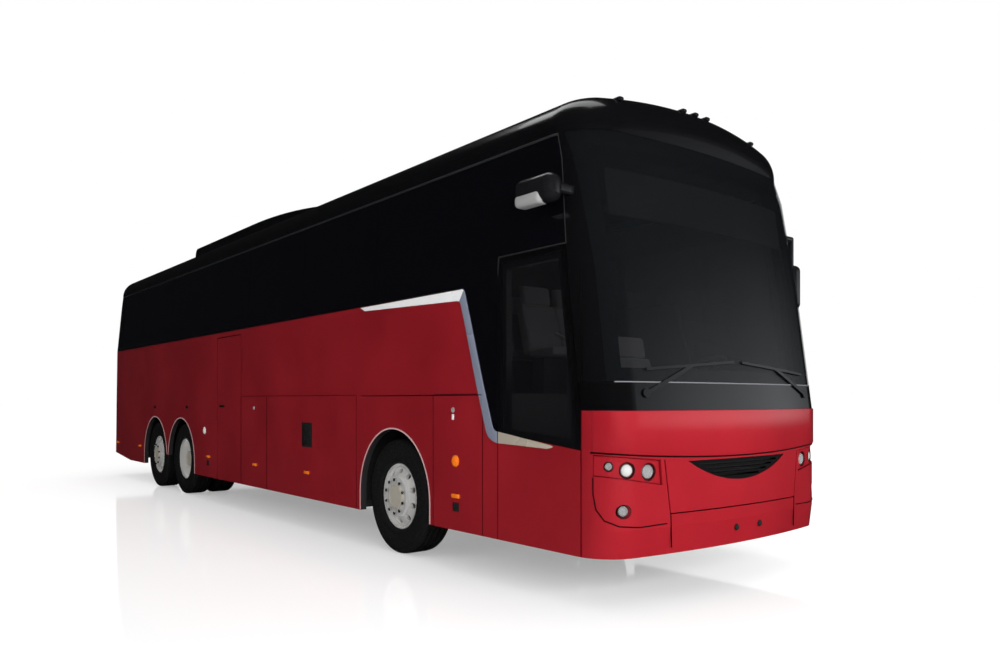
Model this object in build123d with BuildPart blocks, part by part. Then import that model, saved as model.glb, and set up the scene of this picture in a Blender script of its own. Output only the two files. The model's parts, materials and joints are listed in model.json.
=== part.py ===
"""Three-axle touring coach: a hollow body of joined panels on steered, driven and tag axles.

Millimetres. +X is forward, +Y is the driver's side (left) and +Z is up. The origin is on the
ground under the middle of the coach.
"""
from build123d import *
from math import atan, cos, degrees, radians, sin, sqrt
import os

# Overall size
LENGTH = 13200.0
WIDTH = 2550.0
CROWN_Z = 3625.0
SKIRT_Z = 335.0
WALL = 60.0
GLASS_T = 8.0
FLAP_T = 40.0
SEAL = 6.0
RUN_FIT = 0.3
PIN_FIT = 0.6
HINGE_GAP = 0.3
GLASS_BED = 0.6

# Heights that divide the body
BUMPER_Z = 520.0
BAND_TOP_Z = 1310.0
SEAM_Z = 1420.0
SCREEN_FOOT_Z = 1500.0
BELT_Z = 2260.0
SCREEN_TOP_Z = 3050.0
GLASS_TOP_Z = 3230.0
ROOF_JOINT_Z = 3250.0

# Ends of the body
FRONT_BULGE = 129.0
REAR_BULGE = 60.0
SCREEN_RAKE = 0.1387
DOME_RAKE = 0.31
TUMBLEHOME = 0.0556
CROWN_R = 6000.0
CANT_R = 290.0
BUMPER_TUCK = 25.0
FRONT_JOINT_SETBACK = 365.0
REAR_JOINT_SETBACK = 300.0
TAIL_RISE_START = 5340.0
TAIL_RISE = 115.0

# Axles and wheels
FRONT_OVERHANG = 2850.0
WHEELBASE = 6220.0
TAG_SPACING = 1340.0
TYRE_R = 515.0
TYRE_W = 296.0
RIM_R = 297.0
RIM_W = 230.0
WHEEL_Y = 1090.0
TWIN_SPACING = 345.0
KINGPIN_Y = 900.0
KINGPIN_R = 24.0
STUB_R = 46.0
FRONT_ARCH_R = 610.0
REAR_ARCH_R = 630.0
ARCH_Z = 510.0
REAR_ARCH_Z = 480.0
WEDGE_TIP_Z = 540.0

# Floors
DECK_Z = 1440.0
DECK_T = 40.0
PLATFORM_Z = 850.0
PLATFORM_T = 50.0
BAY_FLOOR_Z = 375.0
BAY_FLOOR_T = 30.0
BULKHEAD_T = 30.0
STEP_Z = (360.0, 610.0)
STEP_RUN = 300.0

# Doors and flaps, with x measured forward from the front axle
ENTRY_REAR = 1565.0
ENTRY_FRONT = 2480.0
ENTRY_TOP_Z = 2450.0
MID_REAR = -4635.0
MID_FRONT = -3767.0
MID_TOP_Z = 2200.0
BAY_SPLIT = -2933.0
BAY_FRONT = -700.0
SERVICE_REAR = 669.0
SERVICE_FRONT = 1369.0
DOOR_GAP = 6.0
ARM_LENGTH = 440.0
ARM_CRANK = 200.0
ARM_CRANK_DEG = 30.0
ARM_W = 36.0
ARM_T = 30.0
POST_R = 22.0
POST_X = 2240.0
POST_INSET = 125.0
ARM_HEIGHTS = (700.0, 2395.0)
HANG_PIN_R = 12.0
POST_PLATE_T = 25.0

# Places worked out from the sizes above
HALF = WIDTH / 2
FRONT_X = LENGTH / 2
REAR_X = -LENGTH / 2
FRONT_AXLE_X = FRONT_X - FRONT_OVERHANG
DRIVE_X = FRONT_AXLE_X - WHEELBASE
TAG_X = DRIVE_X - TAG_SPACING
AXLE_Z = TYRE_R
FRONT_JOINT_X = FRONT_X - FRONT_JOINT_SETBACK
REAR_JOINT_X = REAR_X + REAR_JOINT_SETBACK
FAR = LENGTH
SIDES = (("right", -1), ("left", 1))


def rake_at(z):
    """Set-back of the raked front at height z."""
    lower = max(0.0, min(z, SCREEN_TOP_Z) - BAND_TOP_Z) * SCREEN_RAKE
    return lower + max(0.0, z - SCREEN_TOP_Z) * DOME_RAKE


def tumble_at(z):
    """Inward lean of one side at height z."""
    return max(0.0, z - BELT_Z) * TUMBLEHOME


# Body sections: height, front tuck, rear set-back, front corner radius, rear corner radius
LEVELS = (
    (SKIRT_Z, BUMPER_TUCK, 0.0, 290.0, 200.0),
    (BUMPER_Z, 0.0, 8.0, 290.0, 200.0),
    (BAND_TOP_Z, 0.0, 35.0, 290.0, 210.0),
    (BELT_Z, 0.0, 70.0, 310.0, 240.0),
    (SCREEN_TOP_Z, 0.0, 130.0, 370.0, 330.0),
    (ROOF_JOINT_Z, 0.0, 168.0, 388.0, 352.0),
)


def body_section(level, inset, drop=0.0):
    """Plan section of the body at one level, drawn in by inset: straight sides, bowed ends and round corners."""
    z, tuck, rear_in, front_r, rear_r = level
    half = HALF - tumble_at(z) - inset
    front = FRONT_X - tuck - rake_at(z) - inset
    rear = REAR_X + rear_in + inset
    with BuildSketch(Plane.XY.offset(z - drop)) as section:
        with BuildLine():
            Line((rear + REAR_BULGE, -half), (front - FRONT_BULGE, -half))
            ThreePointArc((front - FRONT_BULGE, -half), (front, 0), (front - FRONT_BULGE, half))
            Line((front - FRONT_BULGE, half), (rear + REAR_BULGE, half))
            ThreePointArc((rear + REAR_BULGE, half), (rear, 0), (rear + REAR_BULGE, -half))
        make_face()
        fillet(section.vertices().group_by(Axis.X)[-1], front_r - inset)
        fillet(section.vertices().group_by(Axis.X)[0], rear_r - inset)
    return section.sketch


def hull(inset, drop=0.0):
    """Solid of the walls' outline up to the roof, drawn in by inset and let down by drop at its foot."""
    foot, *rest = LEVELS
    with BuildPart() as body:
        loft(
            sections=[body_section(foot, inset, drop), *(body_section(level, inset) for level in rest)],
            ruled=True,
        )
    return body.part


def dome(inset):
    """Solid of the roof's outline on top of the walls, drawn in by inset: crowned, with a rolled edge."""
    crown_r = CROWN_R - inset
    top = CROWN_Z - inset
    eave = top - crown_r + sqrt(crown_r**2 - WIDTH**2)
    with BuildPart() as body:
        extrude(body_section(LEVELS[-1], inset), amount=WIDTH)
        with BuildSketch(Plane.YZ):
            with BuildLine():
                ThreePointArc((-WIDTH, eave), (0, top), (WIDTH, eave))
                Polyline((WIDTH, eave), (WIDTH, 0), (-WIDTH, 0), (-WIDTH, eave))
            make_face()
        extrude(amount=FAR, both=True, mode=Mode.INTERSECT)
        fillet(body.faces().sort_by(Axis.Z)[-1].edges(), CANT_R - inset)
    return body.part


def skin(outer, inner):
    """Layer of the body between two hulls."""
    with BuildPart() as layer:
        add(outer)
        add(inner, mode=Mode.SUBTRACT)
    return layer.part


def side_block(outline, side):
    """Prism of a side-view outline (x, z) out past the wall of one side, or of both where side is 0."""
    with BuildPart() as block:
        with BuildSketch(Plane.XZ):
            with BuildLine():
                Polyline(*outline, close=True)
            make_face()
        extrude(amount=-side * WIDTH if side else WIDTH, both=not side)
    return block.part


def end_block(outline, end):
    """Prism of an end-view outline (y, z), from the middle out past the front (1) or rear (-1)."""
    with BuildPart() as block:
        with BuildSketch(Plane.YZ):
            with BuildLine():
                Polyline(*outline, close=True)
            make_face()
        extrude(amount=end * FAR)
    return block.part


def box_block(x, y, z):
    """Box between two x, two y and two z places."""
    with BuildPart() as block:
        with BuildSketch(Plane.XY.offset(z[0])):
            with Locations(((x[0] + x[1]) / 2, (y[0] + y[1]) / 2)):
                Rectangle(x[1] - x[0], y[1] - y[0])
        extrude(amount=z[1] - z[0])
    return block.part


def rect(low, high, z_low, z_high):
    """Corners of an upright rectangle."""
    return ((low, z_low), (high, z_low), (high, z_high), (low, z_high))


def grown(outline, amount):
    """Outline moved outward by amount, or inward where amount is negative."""
    with BuildSketch(mode=Mode.PRIVATE) as shape:
        with BuildLine():
            Polyline(*outline, close=True)
        make_face()
        offset(amount=amount, kind=Kind.INTERSECTION)
    loop = shape.sketch.faces()[0].outer_wire().order_edges()
    return tuple((edge.position_at(0).X, edge.position_at(0).Y) for edge in loop)


def hung_opening(outline, gap):
    """Opening round a leaf that hangs from its top edge: a gap around, a hinge's above."""
    top = max(z for across, z in outline)
    return tuple((across, min(z, top + HINGE_GAP)) for across, z in grown(outline, gap))


def save(part, label):
    """Name a finished piece and write it."""
    part.label = label
    export_step(part, f"parts/{label}.step")


os.makedirs("parts", exist_ok=True)

# Hulls that the panels and panes are cut from
OUTER = hull(0.0)
INNER = hull(WALL, WALL)
GLASS_BACK = hull(GLASS_T, WALL)
GLASS_SEAT = hull(GLASS_T + GLASS_BED, WALL)
FLAP_BACK = hull(FLAP_T, WALL)
SHELL = skin(OUTER, INNER)
ROOF_OUTER = dome(0.0)
ROOF_SHELL = skin(ROOF_OUTER, dome(WALL))


def joint_x(z):
    """Line where the side walls meet the front, leaning back with the screen."""
    return FRONT_JOINT_X - rake_at(z)


FRONT_REGION = (
    (FRONT_JOINT_X, 0.0),
    (FRONT_JOINT_X, BAND_TOP_Z),
    (joint_x(SCREEN_TOP_Z), SCREEN_TOP_Z),
    (joint_x(ROOF_JOINT_Z), ROOF_JOINT_Z),
    (FAR, ROOF_JOINT_Z),
    (FAR, 0.0),
)
WALL_REGION = (
    (REAR_JOINT_X, 0.0),
    *FRONT_REGION[:4],
    (REAR_JOINT_X, ROOF_JOINT_Z),
)
REAR_REGION = rect(-FAR, REAR_JOINT_X, 0.0, ROOF_JOINT_Z)


def zone(layer, outline, side):
    """Part of a layer inside a side-view outline."""
    with BuildPart() as piece:
        add(side_block(outline, side))
        add(layer, mode=Mode.INTERSECT)
    return piece.part


SIDE_SHELL = {side: zone(SHELL, WALL_REGION, side) for name, side in SIDES}
SIDE_GLASS = {side: skin(zone(OUTER, WALL_REGION, side), GLASS_BACK) for name, side in SIDES}
SIDE_BED = {side: skin(zone(OUTER, WALL_REGION, side), GLASS_SEAT) for name, side in SIDES}
SIDE_FLAP = {side: skin(zone(OUTER, WALL_REGION, side), FLAP_BACK) for name, side in SIDES}
FRONT_SHELL = zone(SHELL, FRONT_REGION, 0)
FRONT_GLASS = skin(zone(OUTER, FRONT_REGION, 0), GLASS_BACK)
FRONT_BED = skin(zone(OUTER, FRONT_REGION, 0), GLASS_SEAT)
FRONT_FLAP_SKIN = skin(zone(OUTER, FRONT_REGION, 0), FLAP_BACK)
FRONT_LAMP_SKIN = skin(zone(GLASS_BACK, FRONT_REGION, 0), FLAP_BACK)
REAR_SHELL = zone(SHELL, REAR_REGION, 0)
REAR_GLASS = skin(zone(OUTER, REAR_REGION, 0), GLASS_BACK)
REAR_BED = skin(zone(OUTER, REAR_REGION, 0), GLASS_SEAT)
REAR_FLAP_SKIN = skin(zone(OUTER, REAR_REGION, 0), FLAP_BACK)
TAIL_CUT = (
    (-TAIL_RISE_START, SKIRT_Z),
    (-TAIL_RISE_START, 0.0),
    (REAR_X - WALL, 0.0),
    (REAR_X - WALL, SKIRT_Z + TAIL_RISE),
)

# Outlines of the doors and flaps in side view
DOOR_FRONT_X = FRONT_AXLE_X + ENTRY_FRONT
ENTRY_OUTLINE = (
    (FRONT_AXLE_X + ENTRY_REAR, 0.0),
    (DOOR_FRONT_X + DOOR_GAP, 0.0),
    (DOOR_FRONT_X + DOOR_GAP, BAND_TOP_Z),
    (DOOR_FRONT_X + DOOR_GAP - rake_at(ENTRY_TOP_Z), ENTRY_TOP_Z),
    (FRONT_AXLE_X + ENTRY_REAR, ENTRY_TOP_Z),
)
MID_OUTLINE = rect(FRONT_AXLE_X + MID_REAR, FRONT_AXLE_X + MID_FRONT, 0.0, MID_TOP_Z)
# Flaps: name, rear edge, front edge, sides that have one
FLAPS = (
    ("luggage_flap_rear", MID_FRONT, BAY_SPLIT, (-1, 1)),
    ("luggage_flap_front", BAY_SPLIT, BAY_FRONT, (-1, 1)),
    ("service_flap", SERVICE_REAR, SERVICE_FRONT, (-1,)),
)

# Panes of the side glass: a row of like panes, then a dipped pane beside the driver or the door
PANE_PITCH = 1600.0
PANE_ROW_REAR = -9950.0
PANE_COUNT = 6
PANE_FOOT_Z = BELT_Z + 15.0
PANE_DIP_Z = 1140.0
DIP_TOP_X = 1107.0
DIP_FOOT_X = 1470.0
WINDOW_RIM = 55.0


def pane_outlines(side):
    """Outlines of the panes on one side, rear to front."""
    row = FRONT_AXLE_X + PANE_ROW_REAR
    panes = []
    for index in range(PANE_COUNT):
        low = row + index * PANE_PITCH
        panes.append(rect(low + SEAL / 2, low + PANE_PITCH - SEAL / 2, PANE_FOOT_Z, GLASS_TOP_Z))
    start = row + PANE_COUNT * PANE_PITCH + SEAL / 2
    dip = FRONT_AXLE_X + DIP_TOP_X
    foot = FRONT_AXLE_X + DIP_FOOT_X
    edge = 2 * SEAL
    top = (joint_x(GLASS_TOP_Z) - edge, GLASS_TOP_Z)
    if side < 0:
        post = FRONT_AXLE_X + ENTRY_REAR - edge
        lintel = ENTRY_TOP_Z + edge
        nose = ((post, PANE_DIP_Z), (post, lintel), (joint_x(lintel) - edge, lintel))
    else:
        nose = ((joint_x(PANE_DIP_Z) - edge, PANE_DIP_Z), (joint_x(BAND_TOP_Z) - edge, BAND_TOP_Z))
    screen_break = (joint_x(SCREEN_TOP_Z) - edge, SCREEN_TOP_Z)
    heel = ((start, PANE_FOOT_Z), (dip, PANE_FOOT_Z), (foot, PANE_DIP_Z))
    panes.append((*heel, *nose, screen_break, top, (start, GLASS_TOP_Z)))
    return panes


def wheel_arch(x, z, radius):
    """Block that opens a wheel arch from the skirt up, on both sides."""
    with BuildPart() as arch:
        with BuildSketch(Plane.XZ):
            with Locations((x, z)):
                Circle(radius)
            with Locations((x, z / 2)):
                Rectangle(2 * radius, z)
        extrude(amount=WIDTH, both=True)
    return arch.part


ARCHES = (
    wheel_arch(FRONT_AXLE_X, ARCH_Z, FRONT_ARCH_R),
    wheel_arch(DRIVE_X, REAR_ARCH_Z, REAR_ARCH_R),
    wheel_arch(TAG_X, REAR_ARCH_Z, REAR_ARCH_R),
)

# Side walls
for side_name, side in SIDES:
    cuts = [side_block(TAIL_CUT, side), side_block(rect(TAG_X, DRIVE_X, 0.0, WEDGE_TIP_Z), side)]
    if side < 0:
        cuts.append(side_block(ENTRY_OUTLINE, side))
        cuts.append(side_block(MID_OUTLINE, side))
    for flap_name, rear, front, flap_sides in FLAPS:
        if side in flap_sides:
            cuts.append(side_block(rect(FRONT_AXLE_X + rear, FRONT_AXLE_X + front, 0.0, SEAM_Z), side))
    for pane in pane_outlines(side):
        cuts.append(side_block(grown(pane, -WINDOW_RIM), side))
    with BuildPart() as wall:
        add(SIDE_SHELL[side])
        add(ARCHES, mode=Mode.SUBTRACT)
        add(cuts, mode=Mode.SUBTRACT)
        for pane in pane_outlines(side):
            add(SIDE_BED[side].intersect(side_block(grown(pane, SEAL / 2), side)), mode=Mode.SUBTRACT)
        if side < 0:
            with BuildSketch(Plane.XY.offset(ENTRY_TOP_Z + DOOR_GAP)):
                with Locations((FRONT_AXLE_X + POST_X, -HALF + WALL / 2 + POST_INSET / 2)):
                    Rectangle(4 * POST_R, POST_INSET + 2 * POST_R - WALL / 2)
            extrude(amount=POST_PLATE_T)
    save(wall.part, f"{side_name}_wall")

# Roof with its two hatch openings
HATCH_SIZE = 640.0
HATCH_CORNER = 70.0
# Hatches: name, centre measured from the front axle
HATCHES = (("roof_hatch_front", 900.0), ("roof_hatch_rear", -8500.0))
with BuildPart() as roof:
    add(ROOF_SHELL)
    for hatch_name, hatch_x in HATCHES:
        with BuildSketch(Plane.XY.offset(ROOF_JOINT_Z)):
            with Locations((FRONT_AXLE_X + hatch_x, 0)):
                RectangleRounded(HATCH_SIZE, HATCH_SIZE, HATCH_CORNER)
        extrude(amount=CROWN_Z, mode=Mode.SUBTRACT)
save(roof.part, "roof")

# Hatch lids, hinged on their front edges with room behind for the swing
HATCH_SWING_GAP = 12.0
for hatch_name, hatch_x in HATCHES:
    lid_length = HATCH_SIZE - HATCH_SWING_GAP - HINGE_GAP
    lid_x = FRONT_AXLE_X + hatch_x + (HATCH_SWING_GAP - HINGE_GAP) / 2
    with BuildPart() as hatch:
        add(ROOF_SHELL)
        with BuildSketch(Plane.XY.offset(ROOF_JOINT_Z)):
            with Locations((lid_x, 0)):
                RectangleRounded(lid_length, HATCH_SIZE - 2 * SEAL, HATCH_CORNER - SEAL)
        extrude(amount=CROWN_Z, mode=Mode.INTERSECT)
    save(hatch.part, hatch_name)

# Cooling unit's fairing on the roof: abrupt round tail, long taper forward
FAIRING_REAR = -6900.0
FAIRING_FRONT = -2000.0
FAIRING_TOP_Z = 3745.0
FAIRING_HALF = 860.0
FAIRING_TAIL_R = 110.0
with BuildPart() as roof_fairing:
    tail = FRONT_AXLE_X + FAIRING_REAR
    brow = FRONT_AXLE_X + FAIRING_REAR / 2 + FAIRING_FRONT / 2
    toe = FRONT_AXLE_X + FAIRING_FRONT
    with BuildSketch(Plane.XZ):
        with BuildLine():
            Polyline((toe, ROOF_JOINT_Z), (tail, ROOF_JOINT_Z), (tail, FAIRING_TOP_Z), (brow, FAIRING_TOP_Z))
            TangentArc((brow, FAIRING_TOP_Z), (toe, CROWN_Z - WALL), tangent=(1, 0))
            Line((toe, CROWN_Z - WALL), (toe, ROOF_JOINT_Z))
        make_face()
    extrude(amount=FAIRING_HALF, both=True)
    fillet(roof_fairing.edges().filter_by(Axis.Y).group_by(Axis.X)[0].sort_by(Axis.Z)[-1], FAIRING_TAIL_R)
    add(ROOF_OUTER, mode=Mode.SUBTRACT)
save(roof_fairing.part, "roof_fairing")

# Front mask below the screen, with the openings for the flap and lamps
FLAP_TOP_Z = 977.0
FLAP_FOOT_Z = 615.0
FLAP_TOP_HALF = 790.0
FLAP_FOOT_HALF = 740.0
FLAP_SIDE_GAP = 9.0
FLAP_FRAME_INSET = 12.0
FRONT_FLAP = (
    (-FLAP_FOOT_HALF, FLAP_FOOT_Z),
    (FLAP_FOOT_HALF, FLAP_FOOT_Z),
    (FLAP_TOP_HALF, FLAP_TOP_Z),
    (-FLAP_TOP_HALF, FLAP_TOP_Z),
)
LAMP_PLATE = ((815.0, 809.0), (1256.0, 880.0), (1256.0, 1022.0), (830.0, 980.0))
# Front lamps: distance from the middle, height, radius
FRONT_LAMPS = (
    (923.0, 902.0, 66.0),
    (1096.0, 917.0, 58.0),
    (1203.0, 944.0, 36.0),
    (1121.0, 649.0, 48.0),
)
FOG_LAMP = FRONT_LAMPS[-1]


def mirrored(outline, side):
    """Outline given for the left, on the left (1) or the right (-1)."""
    return tuple((side * y, z) for y, z in outline)


with BuildPart() as front_mask:
    add(FRONT_SHELL)
    add(side_block(rect(0.0, FAR, SCREEN_FOOT_Z, CROWN_Z), 0), mode=Mode.SUBTRACT)
    add(end_block(hung_opening(FRONT_FLAP, FLAP_SIDE_GAP), 1), mode=Mode.SUBTRACT)
    for side_name, side in SIDES:
        add(FRONT_FLAP_SKIN.intersect(end_block(mirrored(LAMP_PLATE, side), 1)), mode=Mode.SUBTRACT)
        with BuildSketch(Plane.YZ.offset(FRONT_JOINT_X)):
            with Locations((side * FOG_LAMP[0], FOG_LAMP[1])):
                Circle(FOG_LAMP[2] + RUN_FIT)
        extrude(amount=FAR, mode=Mode.SUBTRACT)
save(front_mask.part, "front_mask")

with BuildPart() as headlamps:
    for side_name, side in SIDES:
        for y, z, radius in FRONT_LAMPS:
            with BuildSketch(Plane.YZ.offset(FRONT_JOINT_X)):
                with Locations((side * y, z)):
                    Circle(radius)
            extrude(amount=FAR)
    add(FRONT_LAMP_SKIN, mode=Mode.INTERSECT)
save(headlamps.part, "headlamps")

# Front flap, an outer sheet on a narrower frame that clears the mask, and the dark grille let into it
GRILLE_HALF = 580.0
GRILLE_TOP_Z = 962.0
GRILLE_FOOT_Z = 805.0
GRILLE_SLOT = 14.0
GRILLE_PITCH = 30.0
with BuildSketch(Plane.YZ) as smile:
    with BuildLine():
        Line((-GRILLE_HALF, GRILLE_TOP_Z), (GRILLE_HALF, GRILLE_TOP_Z))
        ThreePointArc((GRILLE_HALF, GRILLE_TOP_Z), (0, GRILLE_FOOT_Z), (-GRILLE_HALF, GRILLE_TOP_Z))
    make_face()
with BuildPart() as front_flap:
    add(FRONT_GLASS.intersect(end_block(FRONT_FLAP, 1)))
    add(FRONT_LAMP_SKIN.intersect(end_block(grown(FRONT_FLAP, -FLAP_FRAME_INSET), 1)))
    extrude(smile.sketch, amount=FAR, mode=Mode.SUBTRACT)
save(front_flap.part, "front_flap")

with BuildPart() as front_grille:
    extrude(smile.sketch, amount=FAR)
    add(FRONT_LAMP_SKIN, mode=Mode.INTERSECT)
    for row in range(1, 5):
        slot_z = GRILLE_TOP_Z - row * GRILLE_PITCH
        drop = (GRILLE_TOP_Z - slot_z) / (GRILLE_TOP_Z - GRILLE_FOOT_Z)
        slot_half = GRILLE_HALF * sqrt(1 - drop) - 2 * GRILLE_PITCH
        with BuildSketch(Plane.YZ):
            with Locations((0, slot_z)):
                Rectangle(2 * slot_half, GRILLE_SLOT)
        extrude(amount=FAR, mode=Mode.SUBTRACT)
save(front_grille.part, "front_grille")

# Frame round the windscreen, and the screen let into it
SCREEN_HALF = 1195.0
SCREEN_RIM = 90.0
SCREEN_OUTLINE = rect(-SCREEN_HALF, SCREEN_HALF, SCREEN_FOOT_Z + SEAL, ROOF_JOINT_Z - SEAL)
with BuildPart() as front_frame:
    add(FRONT_SHELL)
    add(side_block(rect(0.0, FAR, 0.0, SCREEN_FOOT_Z), 0), mode=Mode.SUBTRACT)
    add(end_block(grown(SCREEN_OUTLINE, -SCREEN_RIM), 1), mode=Mode.SUBTRACT)
    add(FRONT_BED.intersect(end_block(grown(SCREEN_OUTLINE, SEAL / 2), 1)), mode=Mode.SUBTRACT)
save(front_frame.part, "front_frame")

with BuildPart() as windscreen:
    add(FRONT_GLASS)
    add(end_block(SCREEN_OUTLINE, 1), mode=Mode.INTERSECT)
save(windscreen.part, "windscreen")

# Rear wall, engine door, rear lamps
ENGINE_DOOR = rect(-980.0, 980.0, 640.0, 1560.0)
REAR_PANE = rect(-1000.0, 1000.0, PANE_FOOT_Z, GLASS_TOP_Z - WINDOW_RIM)
# Rear lamps: height of the centre, radius
REAR_LAMP_Y = 1110.0
REAR_LAMPS = ((900.0, 62.0), (1060.0, 62.0), (1220.0, 62.0), (1380.0, 62.0))
LOUVRE_COUNT = 9
LOUVRE_PITCH = 60.0
LOUVRE_SLOT = 26.0
LOUVRE_HALF = 700.0
with BuildPart() as rear_wall:
    add(REAR_SHELL)
    add(side_block(TAIL_CUT, 0), mode=Mode.SUBTRACT)
    add(end_block(hung_opening(ENGINE_DOOR, SEAL), -1), mode=Mode.SUBTRACT)
    add(end_block(grown(REAR_PANE, -WINDOW_RIM), -1), mode=Mode.SUBTRACT)
    add(REAR_BED.intersect(end_block(grown(REAR_PANE, SEAL / 2), -1)), mode=Mode.SUBTRACT)
    for side_name, side in SIDES:
        for z, radius in REAR_LAMPS:
            with BuildSketch(Plane.YZ.offset(REAR_JOINT_X)):
                with Locations((side * REAR_LAMP_Y, z)):
                    Circle(radius)
            extrude(amount=-FAR, mode=Mode.SUBTRACT)
save(rear_wall.part, "rear_wall")

with BuildPart() as rear_lamps:
    for side_name, side in SIDES:
        for z, radius in REAR_LAMPS:
            with BuildSketch(Plane.YZ.offset(REAR_JOINT_X)):
                with Locations((side * REAR_LAMP_Y, z)):
                    Circle(radius - RUN_FIT)
            extrude(amount=-FAR)
    add(REAR_FLAP_SKIN, mode=Mode.INTERSECT)
save(rear_lamps.part, "rear_lamps")

with BuildPart() as engine_door:
    add(REAR_FLAP_SKIN)
    add(end_block(ENGINE_DOOR, -1), mode=Mode.INTERSECT)
    for row in range(LOUVRE_COUNT):
        with BuildSketch(Plane.YZ):
            with Locations((0, ENGINE_DOOR[0][1] + (row + 2) * LOUVRE_PITCH)):
                Rectangle(2 * LOUVRE_HALF, LOUVRE_SLOT)
        extrude(amount=-FAR, mode=Mode.SUBTRACT)
save(engine_door.part, "engine_door")

# Fixed panes of the sides and rear
with BuildPart() as cabin_glass:
    for side_name, side in SIDES:
        for pane in pane_outlines(side):
            add(SIDE_GLASS[side].intersect(side_block(pane, side)))
    add(REAR_GLASS.intersect(end_block(REAR_PANE, -1)))
save(cabin_glass.part, "cabin_glass")

# Entry door: glazed leaf hung on two cranked arms that turn with an upright post
ENTRY_LEAF = (
    (FRONT_AXLE_X + ENTRY_REAR + DOOR_GAP, SKIRT_Z),
    (DOOR_FRONT_X, SKIRT_Z),
    (DOOR_FRONT_X, BAND_TOP_Z),
    (DOOR_FRONT_X - rake_at(ENTRY_TOP_Z - DOOR_GAP), ENTRY_TOP_Z - DOOR_GAP),
    (FRONT_AXLE_X + ENTRY_REAR + DOOR_GAP, ENTRY_TOP_Z - DOOR_GAP),
)
DOOR_RIM = 45.0
DOOR_GLASS_REAR_Z = 1130.0
DOOR_GLASS_FRONT_Z = 1060.0
ENTRY_PANE = (
    (ENTRY_LEAF[0][0] + DOOR_RIM, DOOR_GLASS_REAR_Z),
    (DOOR_FRONT_X - DOOR_RIM, DOOR_GLASS_FRONT_Z),
    (DOOR_FRONT_X - DOOR_RIM, BAND_TOP_Z),
    (DOOR_FRONT_X - DOOR_RIM - rake_at(ENTRY_TOP_Z - DOOR_RIM), ENTRY_TOP_Z - DOOR_RIM),
    (ENTRY_LEAF[0][0] + DOOR_RIM, ENTRY_TOP_Z - DOOR_RIM),
)
POST_Y = -HALF + POST_INSET
POST_PLACE_X = FRONT_AXLE_X + POST_X
HANG_X = POST_PLACE_X - ARM_LENGTH
EYE_R = 24.0
with BuildPart() as entry_door:
    add(SIDE_SHELL[-1])
    add(side_block(ENTRY_LEAF, -1), mode=Mode.INTERSECT)
    add(side_block(grown(ENTRY_PANE, -DOOR_RIM), -1), mode=Mode.SUBTRACT)
    add(SIDE_BED[-1].intersect(side_block(grown(ENTRY_PANE, SEAL / 2), -1)), mode=Mode.SUBTRACT)
    for height in ARM_HEIGHTS:
        with BuildSketch(Plane.XY.offset(height - ARM_T - RUN_FIT)):
            with Locations((HANG_X, (POST_Y - HALF + WALL) / 2)):
                Rectangle(2 * EYE_R, HALF - WALL + POST_Y + EYE_R)
        extrude(amount=ARM_T)
        with BuildSketch(Plane.XY.offset(height - ARM_T)):
            with Locations((HANG_X, POST_Y)):
                Circle(HANG_PIN_R)
        extrude(amount=2 * ARM_T)
save(entry_door.part, "entry_door")

with BuildPart() as entry_door_glass:
    add(SIDE_GLASS[-1])
    add(side_block(ENTRY_PANE, -1), mode=Mode.INTERSECT)
save(entry_door_glass.part, "entry_door_glass")

with BuildPart() as entry_door_arm:
    crank = radians(ARM_CRANK_DEG)
    elbow = (POST_PLACE_X - ARM_CRANK * cos(crank), POST_Y + ARM_CRANK * sin(crank))
    for height in ARM_HEIGHTS:
        with BuildSketch(Plane.XY.offset(height)):
            with BuildLine():
                Polyline((POST_PLACE_X, POST_Y), elbow, (HANG_X, POST_Y))
            trace(line_width=ARM_W)
            with Locations((HANG_X, POST_Y), elbow):
                Circle(EYE_R)
        extrude(amount=ARM_T)
        with BuildSketch(Plane.XY.offset(height)):
            with Locations((HANG_X, POST_Y)):
                Circle(HANG_PIN_R + PIN_FIT)
        extrude(amount=ARM_T, mode=Mode.SUBTRACT)
    with BuildSketch(Plane.XY.offset(STEP_Z[0] + RUN_FIT)):
        with Locations((POST_PLACE_X, POST_Y)):
            Circle(POST_R)
    extrude(amount=ENTRY_TOP_Z + DOOR_GAP - STEP_Z[0] - 2 * RUN_FIT)
save(entry_door_arm.part, "entry_door_arm")

# Middle door, hinged on its front edge
MID_LEAF = rect(
    FRONT_AXLE_X + MID_REAR + DOOR_GAP,
    FRONT_AXLE_X + MID_FRONT - HINGE_GAP,
    SKIRT_Z,
    MID_TOP_Z - DOOR_GAP,
)
with BuildPart() as mid_door:
    add(SIDE_SHELL[-1])
    add(side_block(MID_LEAF, -1), mode=Mode.INTERSECT)
save(mid_door.part, "mid_door")

# Luggage and service flaps, hinged on their top edges
for flap_name, rear, front, flap_sides in FLAPS:
    leaf_ends = (FRONT_AXLE_X + rear + DOOR_GAP, FRONT_AXLE_X + front - DOOR_GAP)
    leaf = rect(*leaf_ends, SKIRT_Z, SEAM_Z - HINGE_GAP)
    for side_name, side in SIDES:
        if side in flap_sides:
            with BuildPart() as flap:
                add(SIDE_FLAP[side])
                add(side_block(leaf, side), mode=Mode.INTERSECT)
            save(flap.part, f"{flap_name}_{side_name}")

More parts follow.
